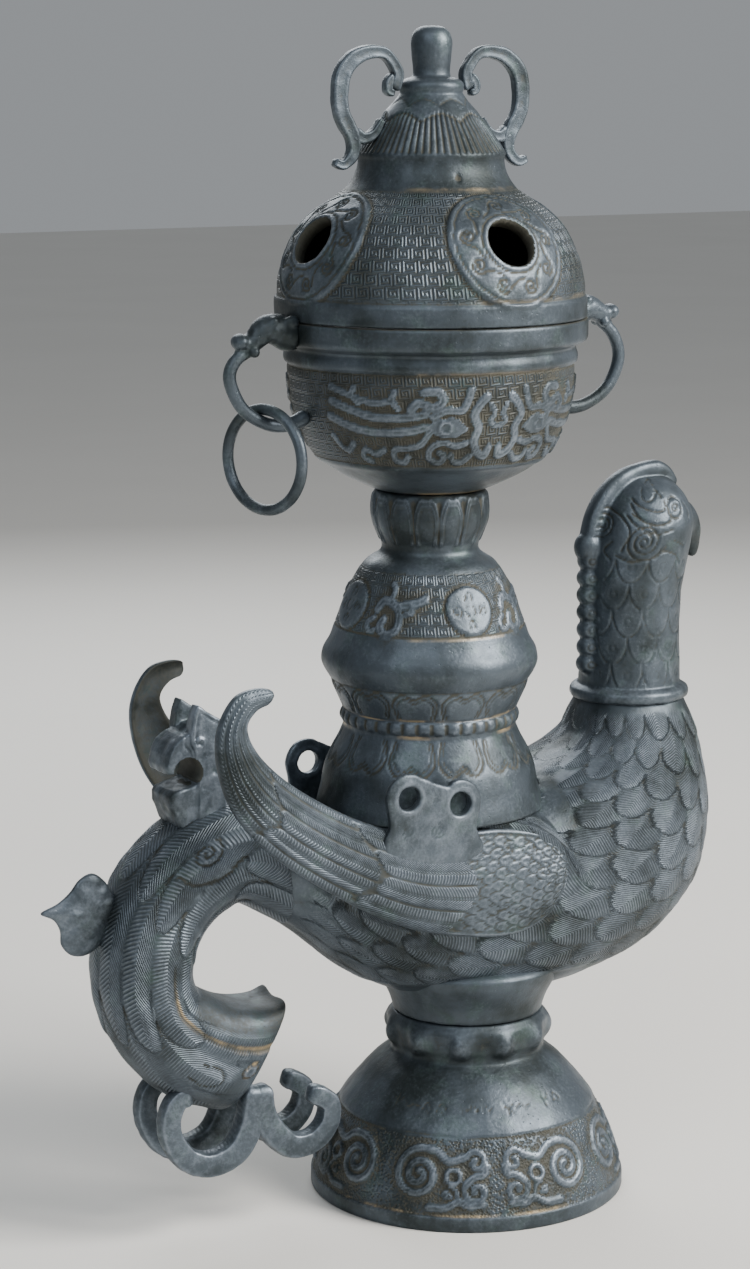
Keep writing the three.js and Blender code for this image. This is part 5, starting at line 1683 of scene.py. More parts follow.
        def flat(spot: tuple) -> tuple[float, float]:
            """Finds a spot on the drawing.

            Args:
                spot: The spot in millimetres from the foot's axis.

            Returns:
                Its place across and along the drawing.
            """
            found = self.near(spot, place, angle)
            return float(angle[found] / (2 * math.pi) * 152.0), float(s[found]) - s_first
        for side in (-1, 1):
            x, y = flat((-139.8, side * 22.1, 173.1))
            drawing.line(spiral(x, y, 6.6, 1.8, -60, side, 0.6), 1.1, -0.9)
            big = bend([[x + side * 9, y - 14], [x + side * 12, y - 2], [x + side * 8, y + 10],
                        [x - side * 2, y + 13]], 20)
            drawing.line(big, 1.2, -0.9)
            x, y = flat((-118.9, side * 18.9, 74.2))
            drawing.line(circle(x, y, 3.4, 0.8), 1.0, -0.8)
            drawing.line(circle(x, y, 2.2, 0.8), 1.6, 0.5)
            drawing.brass(circle(x, y, 3.1, 0.8), 0.5)
            x, y = flat((-138.6, side * 20.4, 75.1))
            leaf = bend([[x - 4, y - 9], [x - 5, y], [x, y + 5.5], [x + 4.5, y], [x + 4, y - 9]], 24)
            drawing.line(leaf, 0.9, -0.7)
        u, v = angle / (2 * math.pi) * 152.0, s - s_first
        carved = drawing.relief(u, v)
        clear = 1 - smooth(0.05, 0.3, blurred(np.abs(carved), 6))
        split = np.minimum(np.abs(angle - 1.72), np.abs(2 * math.pi - angle - 1.72))
        late = smooth(13.2, 14.0, place)
        beyond = smooth(1.70, 1.75, np.minimum(angle, 2 * math.pi - angle)) * late
        lift = lift * (1 - 0.55 * beyond) * (1 - hollow)
        end = smooth(self.last - 1.6, self.last - 0.9, place)
        lift = lift * (1 - 0.85 * end) + carved - 0.9 * np.exp(-((split / 0.035) ** 2)) * late * (1 - hollow)
        worn = drawing.read(u, v, drawing.worn)
        worn = np.maximum(worn, 0.9 * np.exp(-(((split - 0.03) / 0.013) ** 2)) * smooth(13.6, 14.6, place)
                          * (1 - hollow))
        strength = strength * clear * (1 - hollow) * (1 - 0.8 * end * (1 - beyond))
        lip = smooth(self.last - 0.25, self.last, place)
        lump = grain(bare.reshape(-1, 3), 12.0, 22).reshape(s.shape)
        places = self.point(place, angle, lift + 0.2 * lump - 0.3 - 1.6 * lip**2)
        places = self.close(places)
        # Painted reflection and shade: the scoop's hollow is set lower, so its inside takes the tan dust
        # colour, standing in for the tan light it reflects, and darkens.
        relief = np.clip(tone_of(lift, 1.25) + 0.03 - 0.22 * hollow, 0, 1)
        fine = np.stack([phase, angle, strength], 2)
        dress(sheet("carved_tail", places, ends_of(relief), ends_of(worn), ends_of(fine)), "bird_body",
              Fine.BARBS)

    def cone(self) -> None:
        """The smooth cone that stands on the foot's collar."""
        side = [[33.6, 82.4], [34.2, 85.0], [35.6, 89.0], [38.2, 94.0], [41.0, 99.2], [42.6, 103.6]]
        outline = profile_of(run([[0, 81.9], [33.2, 81.9]], 6, False),
                             run([[33.2, 81.9], [33.6, 82.4]], 0.4, False), run(side, 1.2),
                             run([[42.6, 103.6], [30, 108.5], [0, 109]], 5, False))
        skin = Turned(outline, FOOT_X, 140)
        lump = grain(skin.places().reshape(-1, 3), 14.0, 23).reshape(skin.turns.shape)
        relief = np.full(skin.turns.shape, 0.46) + 0.03 * lump
        dress(sheet("breast_cone", skin.places(0.1 * lump * (skin.r[:, None] > 31)), relief), "bird_body",
              Fine.PLAIN)

    def leaf(self) -> None:
        """The leaf that stands out from the tail's back."""
        outline = np.array([[-150.0, 152.4], [-160.0, 152.8], [-169.0, 153.4], [-173.5, 156.4],
                            [-177.0, 161.6], [-182.6, 165.6],
                            [-188.6, 163.4], [-193.0, 158.4], [-198.6, 154.4], [-206.2, 151.2],
                            [-200.4, 147.6], [-197.6, 142.6], [-197.2, 136.6],
                            [-193.0, 131.6], [-186.6, 130.4], [-180.4, 133.2], [-175.4, 138.4],
                            [-170.0, 141.6], [-160.0, 142.4], [-150, 142.8]])
        line = curve(outline, np.linspace(0, 1, 84)) + [FOOT_X, 0]
        middle = np.array([FOOT_X - 184.0, 148.4])
        spread = np.linspace(0, 1, 18)
        faces = []
        for sign, shares in ((1, spread), (-1, spread[::-1])):
            ring = middle + (line[None] - middle) * shares[:, None, None]
            bulge = 3.4 * np.sqrt(np.clip(1 - shares**4, 0, 1)) * (0.75 + 0.25 * np.cos(shares * 2.6))
            vein = np.zeros((len(shares), len(line)))
            faces.append(np.stack([ring[..., 0], sign * bulge[:, None] + vein, ring[..., 1]], 2))
        places = np.concatenate([faces[0], faces[1][1:]])
        places = np.concatenate([places, places[:, :1]], 1)
        lump = grain(places.reshape(-1, 3), 6.0, 24).reshape(places.shape[:2])
        places[..., 1] += 0.25 * lump * (np.abs(places[..., 1]) > 1)
        relief = np.clip(0.62 + 0.06 * lump, 0, 1)
        dress(sheet("tail_leaf", places, relief), "bird_body", Fine.PLAIN)


@dataclass
class Head:
    """The head and hood: beak, crest, back scallops, scales and rolled sleeve."""

    radius: float = 23.3
    high: float = 102.0
    face_lines: tuple = (
        ((140, .681), (134, .762), (148, .83), (171, .864)),
        ((136, .844), (112, .796), (90, .803), (86, .84)),
        ((141, .885), (125, .824), (104, .79)), ((142, .837), (127, .79), (104, .756), (85, .769)),
        ((142, .905), (126, .871), (105, .851), (94, .864), (96, .905), (107, .946)),
        ((145, .66), (127, .637), (101, .654), (89, .70)), ((92, .681), (75, .66), (65, .62)),
        ((80, .722), (62, .694)), ((152, .72), (160, .68), (150, .64)), ((60, .88), (52, .84), (56, .80)))

    def __post_init__(self) -> None:
        """Sets the hood's axis and foot."""
        self.x = bird_x(.282)
        self.z = bird_z(.889)

    def at(self, x: float, z: float) -> list:
        """A place in the middle plane, in radii from the axis and shares of the height.

        Args:
            x: Radii from the axis.
            z: Share of the height.

        Returns:
            The place in millimetres.
        """
        return [self.x + self.radius * x, self.z + self.high * z]

    def build(self) -> None:
        """Builds, fuses, carves and dresses the head."""
        table = np.array([(0.002, 0, 1.02), (0.004, 0, 1.12), (0.022, 0, 1.165), (0.046, 0, 1.15),
                          (0.062, 0, 1.06), (0.075, 0, 1.0),
                          (0.18, 0, 0.98), (0.3, 0, 0.97), (0.42, 0.01, 0.98), (0.5, 0.03, 1.0),
                          (0.6, 0.13, 1.03), (0.7, 0.28, 1.05),
                          (0.78, 0.42, 1.03), (0.84, 0.5, 0.95), (0.89, 0.56, 0.83), (0.93, 0.6, 0.68),
                          (0.96, 0.63, 0.5), (0.978, 0.64, 0.3), (0.984, 0.64, 0.0)])
        row = curve(table, np.linspace(0, 1, 150))
        row[:, 2] = np.maximum(row[:, 2], 0)
        angle = np.linspace(0, 2 * math.pi, 121)
        r = (row[:, 2] * self.radius)[:, None]
        x = self.x + (row[:, 1] * self.radius * 0.5)[:, None] + r * np.cos(angle)
        y = 0.97 * r * np.sin(angle)
        z = np.broadcast_to((self.z + row[:, 0] * self.high)[:, None], x.shape)
        hood = np.stack([x, y, z], 2)
        first = np.broadcast_to(hood[:1].mean(1, keepdims=True), hood[:1].shape)
        hood = sheet("hood", np.concatenate([first, hood]), np.zeros((151, 121)))
        crest = bar([self.at(-0.98, 0.68), self.at(-0.8, 0.83), self.at(-0.42, 0.945), self.at(0.12, 1.0),
                     self.at(0.66, 1.005), self.at(0.98, 0.93)],
                    [9.6, 9.8, 9.0, 8.4, 7.6, 5.0], [9.8, 9.6, 9.0, 8.0, 7.2, 6.0], 40, 0.9, 0.8)
        parts = [hood, sheet("crest", crest["places"], np.zeros(crest["angle"].shape))]
        beak = bar([self.at(0.7, 0.78), self.at(1.05, 0.755), self.at(1.28, 0.715), self.at(1.41, 0.66),
                    self.at(1.44, 0.60)],
                   [28, 25, 18, 9.4, 3.4], [32, 25, 15, 8.0, 3.0], 40, 0.8)
        jaw = bar([self.at(0.8, 0.64), self.at(1.1, 0.636), self.at(1.26, 0.61)], [10, 8, 3.8], [20, 13, 5],
                  24, 0.8)
        parts += [sheet("beak", beak["places"], np.zeros(beak["angle"].shape)),
                  sheet("jaw", jaw["places"], np.zeros(jaw["angle"].shape))]
        for i in range(7):
            lump_x, lump_z = self.at(-0.985, 0.165 + 0.46 * i / 6)
            parts.append(ball(lump_x, 0, lump_z, 4.7, (1, 1.15, 0.98)))
        knob_x, knob_z = self.at(-0.98, 0.685)
        parts.append(ball(knob_x, 0, knob_z, 6.6, (1, 0.95, 1.12)))
        for side in (-1, 1):
            eye_x, eye_z = self.at(0.46, 0.864)
            parts.append(ball(eye_x, side * 17.2, eye_z, 3.9, (1.0, 0.75, 1.0)))
        piece = fuse("carved_head", parts, 0.85, 3)
        places, out = places_of(piece), normals_of(piece)
        share = (places[:, 2] - self.z) / self.high
        axis = self.x + self.radius * 0.5 * np.interp(share, table[:, 0], table[:, 1])
        turn = np.arctan2(places[:, 1], places[:, 0] - axis)
        reach = np.hypot(places[:, 1], places[:, 0] - axis)
        skin = np.interp(share, table[:, 0], table[:, 2]) * self.radius
        onskin = smooth(1.6, 0.6, np.abs(reach - skin)) * (places[:, 0] > axis - 21.4)
        lift = scales_of((0.665 - share) * self.high, (turn + math.pi) * 22.6, 12.4, 2 * math.pi * 22.6 / 10)
        low_part = smooth(0.075, 0.09, share) * (1 - smooth(0.62, 0.66, share)) * onskin
        drawing = Drawing(160.0, 110.0, 0.25, False)
        middle = 80.0
        for side in (-1, 1):
            def spot(degrees: float, height: float) -> tuple[float, float]:
                """Finds a place on the drawing.

                Args:
                    degrees: Turn from the front.
                    height: Share of the height.

                Returns:
                    The place across and up the drawing.
                """
                return middle + side * math.radians(degrees) * 23.0, height * self.high
            x0, y0 = spot(116, 0.722)
            drawing.line(spiral(x0, y0, 9.0, 2.9, 200 if side > 0 else -20, side, 0.8), 0.9, -0.8)
            x0, y0 = spot(168, 0.79)
            drawing.line(spiral(x0, y0, 6.4, 2.5, -20 if side > 0 else 200, -side, 0.8), 0.85, -0.7)
            for line in self.face_lines:
                drawing.line(bend([spot(*place) for place in line], 30), 0.85, -0.8)
            x0, y0 = spot(118, 0.935)
            drawing.line(circle(x0, y0, 4.4, 1.0), 0.85, -0.6)
            x0, y0 = spot(79, 0.864)
            drawing.line(circle(x0, y0, 4.6, 1.0), 0.85, -0.8)
            drawing.line(circle(x0, y0, 1.5, 1.0), 0.85, -0.7)
        carved = (drawing.relief(middle + turn * 23.0, share * self.high)
                  * smooth(4.5, 1.5, np.abs(reach - skin)) * (share > 0.07))
        lump = grain(places, 11.0, 31)
        lift = lift * low_part + carved
        comb = (places[:, 0] < axis - 21.0) & (share < 0.64)
        dot = np.minimum.reduce([np.hypot(places[:, 0] - self.at(-0.985, 0)[0] + 0.6,
                                          places[:, 2] - self.at(0, 0.165 + 0.46 * i / 6)[1])
                                 for i in range(7)])
        lift = lift - 0.5 * np.exp(-(((dot - 1.5) / 0.45) ** 2)) * comb
        places = places + out * (lift + 0.14 * lump)[:, None]
        floor = self.z + 0.1
        places[:, 2] = np.maximum(places[:, 2], floor)
        move_to(piece, places)
        # Cut lines and scale grooves go darker and raised parts paler: partly dark deposit, partly painted
        # shade and painted highlight.
        relief = np.clip(0.50 + 0.5 * lift + 0.05 * lump + 0.1 * (share < 0.07), 0, 1)
        mark(piece, relief)
        dress(piece, "head_hood", Fine.PLAIN)


@dataclass
class Wing:
    """One wing: a concave shell with scales, two ranks of long feathers, pinions and a two-hole lug."""

    side: int = -1
    plane: float = 47.5
    thick: float = 3.4
    bulge: float = 5.0
    hole: float = 5.2

    def __post_init__(self) -> None:
        """Lays out the wing's edges."""
        self.dx, self.dz = (0.0, 0.0) if self.side < 0 else (4.0, -4.0)
        shift = np.array([self.dx, self.dz])
        self.top = shift + on_bird([(.077, .48), (.068, .535), (.03, .59), (-.05, .622), (-.16, .625),
                                    (-.263, .69), (-.36, .8), (-.42, .905),
                          (-.443, .990), (-.430, 1.038), (-.402, 1.058)])
        self.bottom = shift + on_bird([(.077, .48), (.06, .37), (0, .3), (-.09, .308), (-.2, .37),
                                       (-.31, .49), (-.41, .635), (-.47, .78),
                             (-.491, .955), (-.462, 1.082), (-.404, 1.108)])

    def shell(self) -> bpy.types.Object:
        """The feathered shell.

        Returns:
            The shell.
        """
        v = np.linspace(0, 1, 252)[:, None]
        outer, inner = np.linspace(0, 1, 86), np.linspace(1, 0, 26)[1:]
        across = np.concatenate([outer, inner])[None]
        v, across = np.broadcast_arrays(v, across)
        front = np.arange(v.shape[1])[None] < len(outer)
        top, bottom = curve(self.top, v), curve(self.bottom, v)
        blunt = np.sqrt(np.clip(1 - np.clip((v - 0.958) / 0.042, 0, 1) ** 2, 0, 1))
        flat = (top + bottom) / 2 + (bottom - top) * ((across - 0.5) * blunt)[..., None]
        ends = np.minimum(np.clip(6 * v, 0, 1), blunt)
        rounded = np.sqrt(np.clip(1 - (1 - np.clip(np.minimum(across, 1 - across) / 0.05, 0, 1)) ** 2, 0, 1))
        width = np.linalg.norm(bottom - top, axis=2)
        puff = ((self.bulge + np.where(front, 0.0, -0.6)) * np.sin(math.pi * across) * np.sqrt(ends)
                * np.clip(width / 24, 0.4, 1))
        length = np.concatenate([[0], np.cumsum(np.linalg.norm(np.diff(((top + bottom) / 2)[:, 0], axis=0),
                                                               axis=1))])[:, None]
        scales = 1.05 * scales_of(length + 60.0 + 2.0 * np.cos(6 * across), across * 62.0, 5.4, 62.0 / 9)
        marks = [(0.0, 0.30, 9), (0.335, 0.475, 4.0), (0.48, 0.64, 4.0), (0.645, 1.12, 5.0)]
        lift, phase, strength = scales * (v < 0.345), 0 * v, 0 * v
        sway = 0.035 * (across - 0.5) - 0.02 * np.cos(6 * across)
        for index, (low, high, count) in enumerate(marks[1:]):
            start, end = np.interp([low, high], v[:, 0], length[:, 0])
            lane = across * count + 0.5 * (index % 2)
            x = lane - np.floor(lane) - 0.5
            y = (np.interp(v + sway, v[:, 0], length[:, 0]) - start) / (end - start)
            wide = np.maximum(width / count, 2.0)
            nose = 0.5 * wide / (end - start)
            half = (0.5 * np.sqrt(np.clip(1 - np.clip((y - 1 + nose) / nose, 0, 1) ** 2, 0, 1))
                    if index < 2 else 0.5 + 0 * y)
            inside = (y > 0) & (y <= 1 if index < 2 else y > -1) & (np.abs(x) <= half)
            rim = (half - np.abs(x)) * wide
            quill = np.exp(-(((np.abs(x) * wide - 0.55) / 0.4) ** 2)) * smooth(1.02, 0.86, y)
            shape = 0.6 + 0.4 * np.clip(y, 0, 1) - 0.9 * np.exp(-((rim / 0.55) ** 2)) - 0.55 * quill
            use = inside if index == 0 else inside & (v > marks[index][1] - 0.02)
            if index < 2:
                covered = (y > 0) & (y <= 1)
                gap = np.maximum(np.abs(x) - half, 0) * wide
                lift = np.where(covered & ~inside, -0.8 * np.exp(-((gap / 0.8) ** 2)), lift)
            lift = np.where(use, shape, lift)
            phase = np.where(use, (y * (end - start) - 0.8 * np.abs(x) * wide) / 1.5, phase)
            strength = np.where(use, smooth(0.5, 1.1, rim) * (1 - quill), strength)
        lift = lift + 0.65 * (v > 0.35) * (blurred(lift, 1) - lift)
        border = np.minimum(across, 1 - across) * width
        rim = smooth(2.6, 1.4, border)
        lift = lift * (1 - rim) + 0.7 * rim
        lift = lift * np.where(front, 1.0, 0.0) * smooth(0.0, 0.05, v) * smooth(0.94, 0.82, v)
        drawing = np.zeros_like(lift)
        rng = np.random.default_rng(5)
        for _ in range(16):
            cv, ce = rng.uniform(0.06, 0.3), rng.uniform(0.15, 0.85)
            middle = curve(self.top, cv) * (1 - ce) + curve(self.bottom, cv) * ce
            dx, dz = flat[..., 0] - middle[0], flat[..., 1] - middle[1]
            r, t = np.hypot(dx, dz), np.arctan2(dz, dx)
            swirl = np.abs((r / 1.25 - t / (2 * math.pi) + 0.5) % 1.0 - 0.5)
            drawing = np.maximum(drawing, np.exp(-((swirl / 0.2) ** 2)) * (r < 3.1) * (r > 0.4))
        lift = lift - 0.55 * drawing * front * (lift > -0.6)
        places = np.zeros(v.shape + (3,))
        places[..., 0], places[..., 2] = flat[..., 0], flat[..., 1]
        body = np.where(front, 0.0, -self.thick) * ends
        soften = (1 - rounded) * self.thick * 0.5 * ends * np.where(front, -1, 1)
        places[..., 1] = self.side * (self.plane + puff + body + soften + 0.75 * lift * rounded - 0.25)
        lump = grain(places.reshape(-1, 3), 10.0, 41).reshape(v.shape)
        places[..., 1] += 0.1 * lump * rounded * ends
        relief = np.clip(tone_of(lift, 1.1) + 0.05 - 0.3 * ~front, 0, 1)
        fine = np.stack([phase, across, strength * front * smooth(0.0, 0.1, rounded)], 2)
        side = "right" if self.side < 0 else "left"
        return sheet("carved_wing_" + side, places, relief, 0.0, fine)

    def lug(self) -> bpy.types.Object:
        """The plate with two holes over the wing's upper edge.

        Returns:
            The plate.
        """
        mx, mz = bird_x(-.155) + self.dx, bird_z(.73) + self.dz
        holes = [(mx - 12.5, mz + 2.5), (mx + 12.5, mz - 2.5)]
        lobe = self.hole + 5.3
        points = [[mx - 23.5, mz - 27.0], [mx - 24.5, mz - 16.0], [mx - 21.4, mz - 9.0]]
        for (hx, hz), (start, end) in zip(holes, ((185, 52), (128, -18))):
            points += [[hx + lobe * math.cos(math.radians(a)), hz + lobe * math.sin(math.radians(a))]
                       for a in np.linspace(start, end, 9)]
        points += [[mx + 21.0, mz - 14.0], [mx + 24.0, mz - 24.0], [mx + 10.0, mz - 30.0],
                   [mx - 8.0, mz - 31.0]]
        line = bend(points + points[:1], 180)
        middle = np.array([mx, mz - 12.0])
        rings = []
        for share, depth in ((0.0, 2.0), (0.35, 2.0), (0.7, 2.0), (0.9, 1.95), (0.97, 1.6), (1.0, 1.0),
                             (1.0, -1.0), (0.97, -1.6), (0.9, -1.9), (0.4, -1.9), (0.0, -1.9)):
            ring = middle + (line - middle) * share
            rings.append(np.stack([ring[:, 0], self.side * (self.plane + 2.0 + depth) + 0 * ring[:, 0],
                                   ring[:, 1]], 1))
        plate = sheet("lug", np.array(rings), np.zeros((len(rings), len(line))))
        cutters = []
        for hx, hz in holes:
            deselect()
            bpy.ops.mesh.primitive_cylinder_add(vertices=48, radius=self.hole * MM, depth=0.02,
                                                rotation=(math.pi / 2, 0, 0),
                                                location=(hx * MM, self.side * (self.plane + 2) * MM,
                                                          hz * MM))
            cutters.append(bpy.context.object)
        carve(plate, cutters)
        piece = fuse("lug_" + ("right" if self.side < 0 else "left"), [plate], 0.88, 2)
        places, out = places_of(piece), normals_of(piece)
        lift = np.zeros(len(places))
        for hx, hz in holes:
            r = np.hypot(places[:, 0] - hx, places[:, 2] - hz)
            lift += 0.4 * np.exp(-(((r - 6.6) / 0.8) ** 2))
        for sx, sz, size in ((mx + 1.0, mz - 13.0, 3.6), (mx, mz + 1.0, 2.0), (mx - 13, mz - 12, 2.6)):
            dx, dz = places[:, 0] - sx, places[:, 2] - sz
            r, t = np.hypot(dx, dz), np.arctan2(dz, dx)
            swirl = np.abs((r / 1.7 - t / (2 * math.pi) + 0.5) % 1.0 - 0.5)
            lift -= 0.5 * np.exp(-((swirl / 0.2) ** 2)) * (r < size) * (r > 0.5)
        lump = grain(places, 9.0, 43)
        move_to(piece, places + out * (lift + 0.12 * lump)[:, None] * 0.9)
        # Grooves go darker and raised rims paler: partly dark deposit, partly painted shade and painted
        # highlight.
        mark(piece, np.clip(0.6 + 0.5 * lift + 0.06 * lump, 0, 1))
        return piece

    def build(self) -> None:
        """Builds and dresses the wing and its lug."""
        node = "wing_right" if self.side < 0 else "wing_left"
        dress(self.shell(), node, Fine.BARBS)
        dress(self.lug(), node, Fine.PLAIN)


# Fittings

@dataclass
class BeastHead:
    """The small open-mouthed head on the tail's root, lumpy from the mould."""

    long: float = 28.0
    high: float = 45.0

    def __post_init__(self) -> None:
        """Finds the spot it sits on."""
        self.x = bird_x(-.38) - 46.5 * 0.53
        self.z = bird_z(.27) + 46.5 + 46.0 * 0.47

    def at(self, x: float, z: float) -> list:
        """A place in the middle plane by shares of the head.

        Args:
            x: Share of the length.
            z: Share of the height.

        Returns:
            The place in millimetres.
        """
        return [self.x + self.long * x, self.z + self.high * z]

    def slab(self, points: list, side: float, wide: float) -> bpy.types.Object:
        """A flat block with softened edges.

        Args:
            points: Its outline in shares of the head.
            side: Its middle across the head.
            wide: Its width in millimetres.

        Returns:
            The block.
        """
        corners = np.array([self.at(x, z) for x, z in points + points[:1]])
        line = run(corners.tolist(), 0.8, False)
        middle = corners[:-1].mean(0)
        rows = []
        for share, y in ((0, -0.5), (0.9, -0.5), (0.97, -0.47), (1, -0.41), (1, 0.41), (0.97, 0.47),
                         (0.9, 0.5), (0, 0.5)):
            ring = middle + (line - middle) * share
            rows.append(np.stack([ring[:, 0], side + wide * y + 0 * ring[:, 0], ring[:, 1]], 1))
        return sheet("block", np.array(rows), np.zeros((len(rows), len(line))))

    def edge_of(self, points: list, places: Field) -> Field:
        """Distance in the middle plane from an outline given in shares.

        Args:
            points: The outline, in shares of the head.
            places: Places in millimetres.

        Returns:
            The distance of each place.
        """
        corners = np.array([self.at(x, z) for x, z in points + points[:1]])
        spots = places[:, [0, 2]]
        away = np.full(len(places), 99.0)
        for start, end in zip(corners[:-1], corners[1:]):
            way = end - start
            share = np.clip(((spots - start) @ way) / (way @ way), 0, 1)
            away = np.minimum(away, np.linalg.norm(spots - start - share[:, None] * way, axis=1))
        return away

    def build(self) -> None:
        """Builds, fuses, cuts and dresses the head."""
        ear = [(-0.1, 0.62), (-0.06, 0.86), (0.02, 0.985), (0.28, 0.87), (0.48, 0.80), (0.42, 0.5),
               (0.0, 0.5)]
        skull = [(0.02, 0.30), (-0.06, 0.66), (0.0, 0.76), (0.3, 0.80), (0.48, 0.74), (0.5, -0.1),
                 (0.3, -0.3), (0.02, -0.3)]
        snout = [(0.15, 0.76), (-0.06, 0.73), (-0.2, 0.69), (-0.34, 0.62), (-0.44, 0.52), (-0.48, 0.40),
                 (-0.44, 0.335), (-0.36, 0.34), (-0.1, 0.40), (0.15, 0.40)]
        jaw = [(-0.42, 0.03), (-0.43, 0.13), (-0.37, 0.175), (-0.1, 0.21), (0.15, 0.26), (0.4, 0.26),
               (0.4, -0.3), (-0.05, -0.3), (-0.3, -0.16)]
        parts = [self.slab(skull, 0.0, 22.5), self.slab(snout, 0.0, 19.5), self.slab(jaw, 0.0, 20.5)]
        for side in (-1, 1):
            parts.append(self.slab(ear, side * 8.3, 6.6))
            x, z = self.at(0.04, 0.62)
            parts.append(ball(x, side * 10.6, z, 3.6, (1, 0.6, 1)))
        piece = fuse("carved_beast", parts, 0.66, 2)
        places, out = places_of(piece), normals_of(piece)
        flank = smooth(7.0, 10.0, np.abs(places[:, 1]))
        lift = 0.2 * grain(places, 7.0, 51) + 0.05 * grain(places, 3.2, 52)
        lift -= (0.55 * flank * np.exp(-(((self.edge_of(ear, places) - 1.9) / 0.45) ** 2))
                 * (places[:, 2] > self.at(0, 0.56)[1]))
        for x, z, size, deep in ((0.04, 0.62, 1.3, 1.5), (0.3, 0.34, 1.6, 0.7), (0.12, 0.2, 1.2, 0.6),
                                 (-0.3, 0.0, 1.2, 0.6)):
            spot = np.hypot(places[:, 0] - self.at(x, z)[0], places[:, 2] - self.at(x, z)[1])
            lift -= deep * flank * np.exp(-((spot / size) ** 2))
        move_to(piece, places + out * lift[:, None])
        # Deep dents of eyes, ears and mouth go darker: partly dark deposit, partly painted shade.
        mark(piece, np.clip(0.66 + 0.12 * grain(places, 7.0, 51) + 0.2 * (lift < -0.3) * lift, 0, 1))
        tail = Bird()
        place, _, angle = tail.grid(8.0, 13.5, 2.0, 64)
        cutter = sheet("tail_room", tail.close(tail.point(place, angle, 0.25)),
                       np.zeros((place.shape[0] + 2, place.shape[1])))
        deselect()
        x, z = self.at(-0.13, 0.35)
        bpy.ops.mesh.primitive_cylinder_add(vertices=56, radius=6.3 * MM, depth=0.05,
                                            location=(x * MM, 0, z * MM), rotation=(math.pi / 2, 0, 0))
        carve(piece, [cutter, bpy.context.object])
        dress(piece, "beast_head", Fine.PLAIN)


@dataclass
class TailCurls:
    """One pair of curls under the tail's end, ridged along both edges with slanting nicks between."""

    side: int = -1
    spacing: float = 24.0

    def build(self) -> None:
        """Builds and dresses the pair."""
        x0, z0 = bird_x(-.38) - 1, bird_z(.27) - 46.5 - 23 + 11
        rear = [(2, 2), (-1, -14), (-8, -26), (-20, -30), (-31, -26), (-38, -16), (-39, -6), (-35, 1),
                (-28, 2)]
        front = [(3, 2), (6, -14), (17, -27), (28, -28), (36, -22), (38, -13), (33, -8), (27, -6)]
        parts = []
        for path in (rear, front):
            made = bar([[x0 + x, z0 + z] for x, z in path], [12.6, 12.2, 11.2, 10.0, 8.8],
                       [9.9, 9.6, 9.2, 8.6, 8.0], 48, 0.75, 0.66)
            angle, along = made["angle"], made["along"]
            face = np.abs(np.sin(angle))
            ridge = np.exp(-(((face - 0.72) / 0.10) ** 2))
            nick = (np.maximum(0, np.cos((along + 5.5 * np.cos(angle)) * 2 * math.pi / 2.6)) ** 3
                    * smooth(0.82, 0.95, face))
            crest = smooth(0.55, 0.2, face)
            nick_back = np.maximum(0, np.cos((along + 3.0 * np.sin(angle)) * 2 * math.pi / 2.8)) ** 4 * crest
            lift = (0.34 * ridge - 0.16 * nick - 0.32 * nick_back) * made["close"]
            places = made["places"] + made["out"] * lift[..., None]
            places[..., 1] += self.side * self.spacing / 2
            lump = grain(places.reshape(-1, 3), 7.0, 61).reshape(lift.shape)
            places += made["out"] * (0.12 * lump * made["close"])[..., None]
            # Ridges go paler and nicks darker: partly dark deposit, partly painted shade and painted
            # highlight.
            parts.append(sheet("curl", places, np.clip(0.58 + 0.6 * lift + 0.05 * lump, 0, 1)))
        choose(parts[0])
        parts[1].select_set(True)
        bpy.ops.object.join()
        piece = bpy.context.object
        side = "right" if self.side < 0 else "left"
        piece.name = piece.data.name = "carved_curls_" + side
        dress(piece, "tail_curl_" + side, Fine.PLAIN)


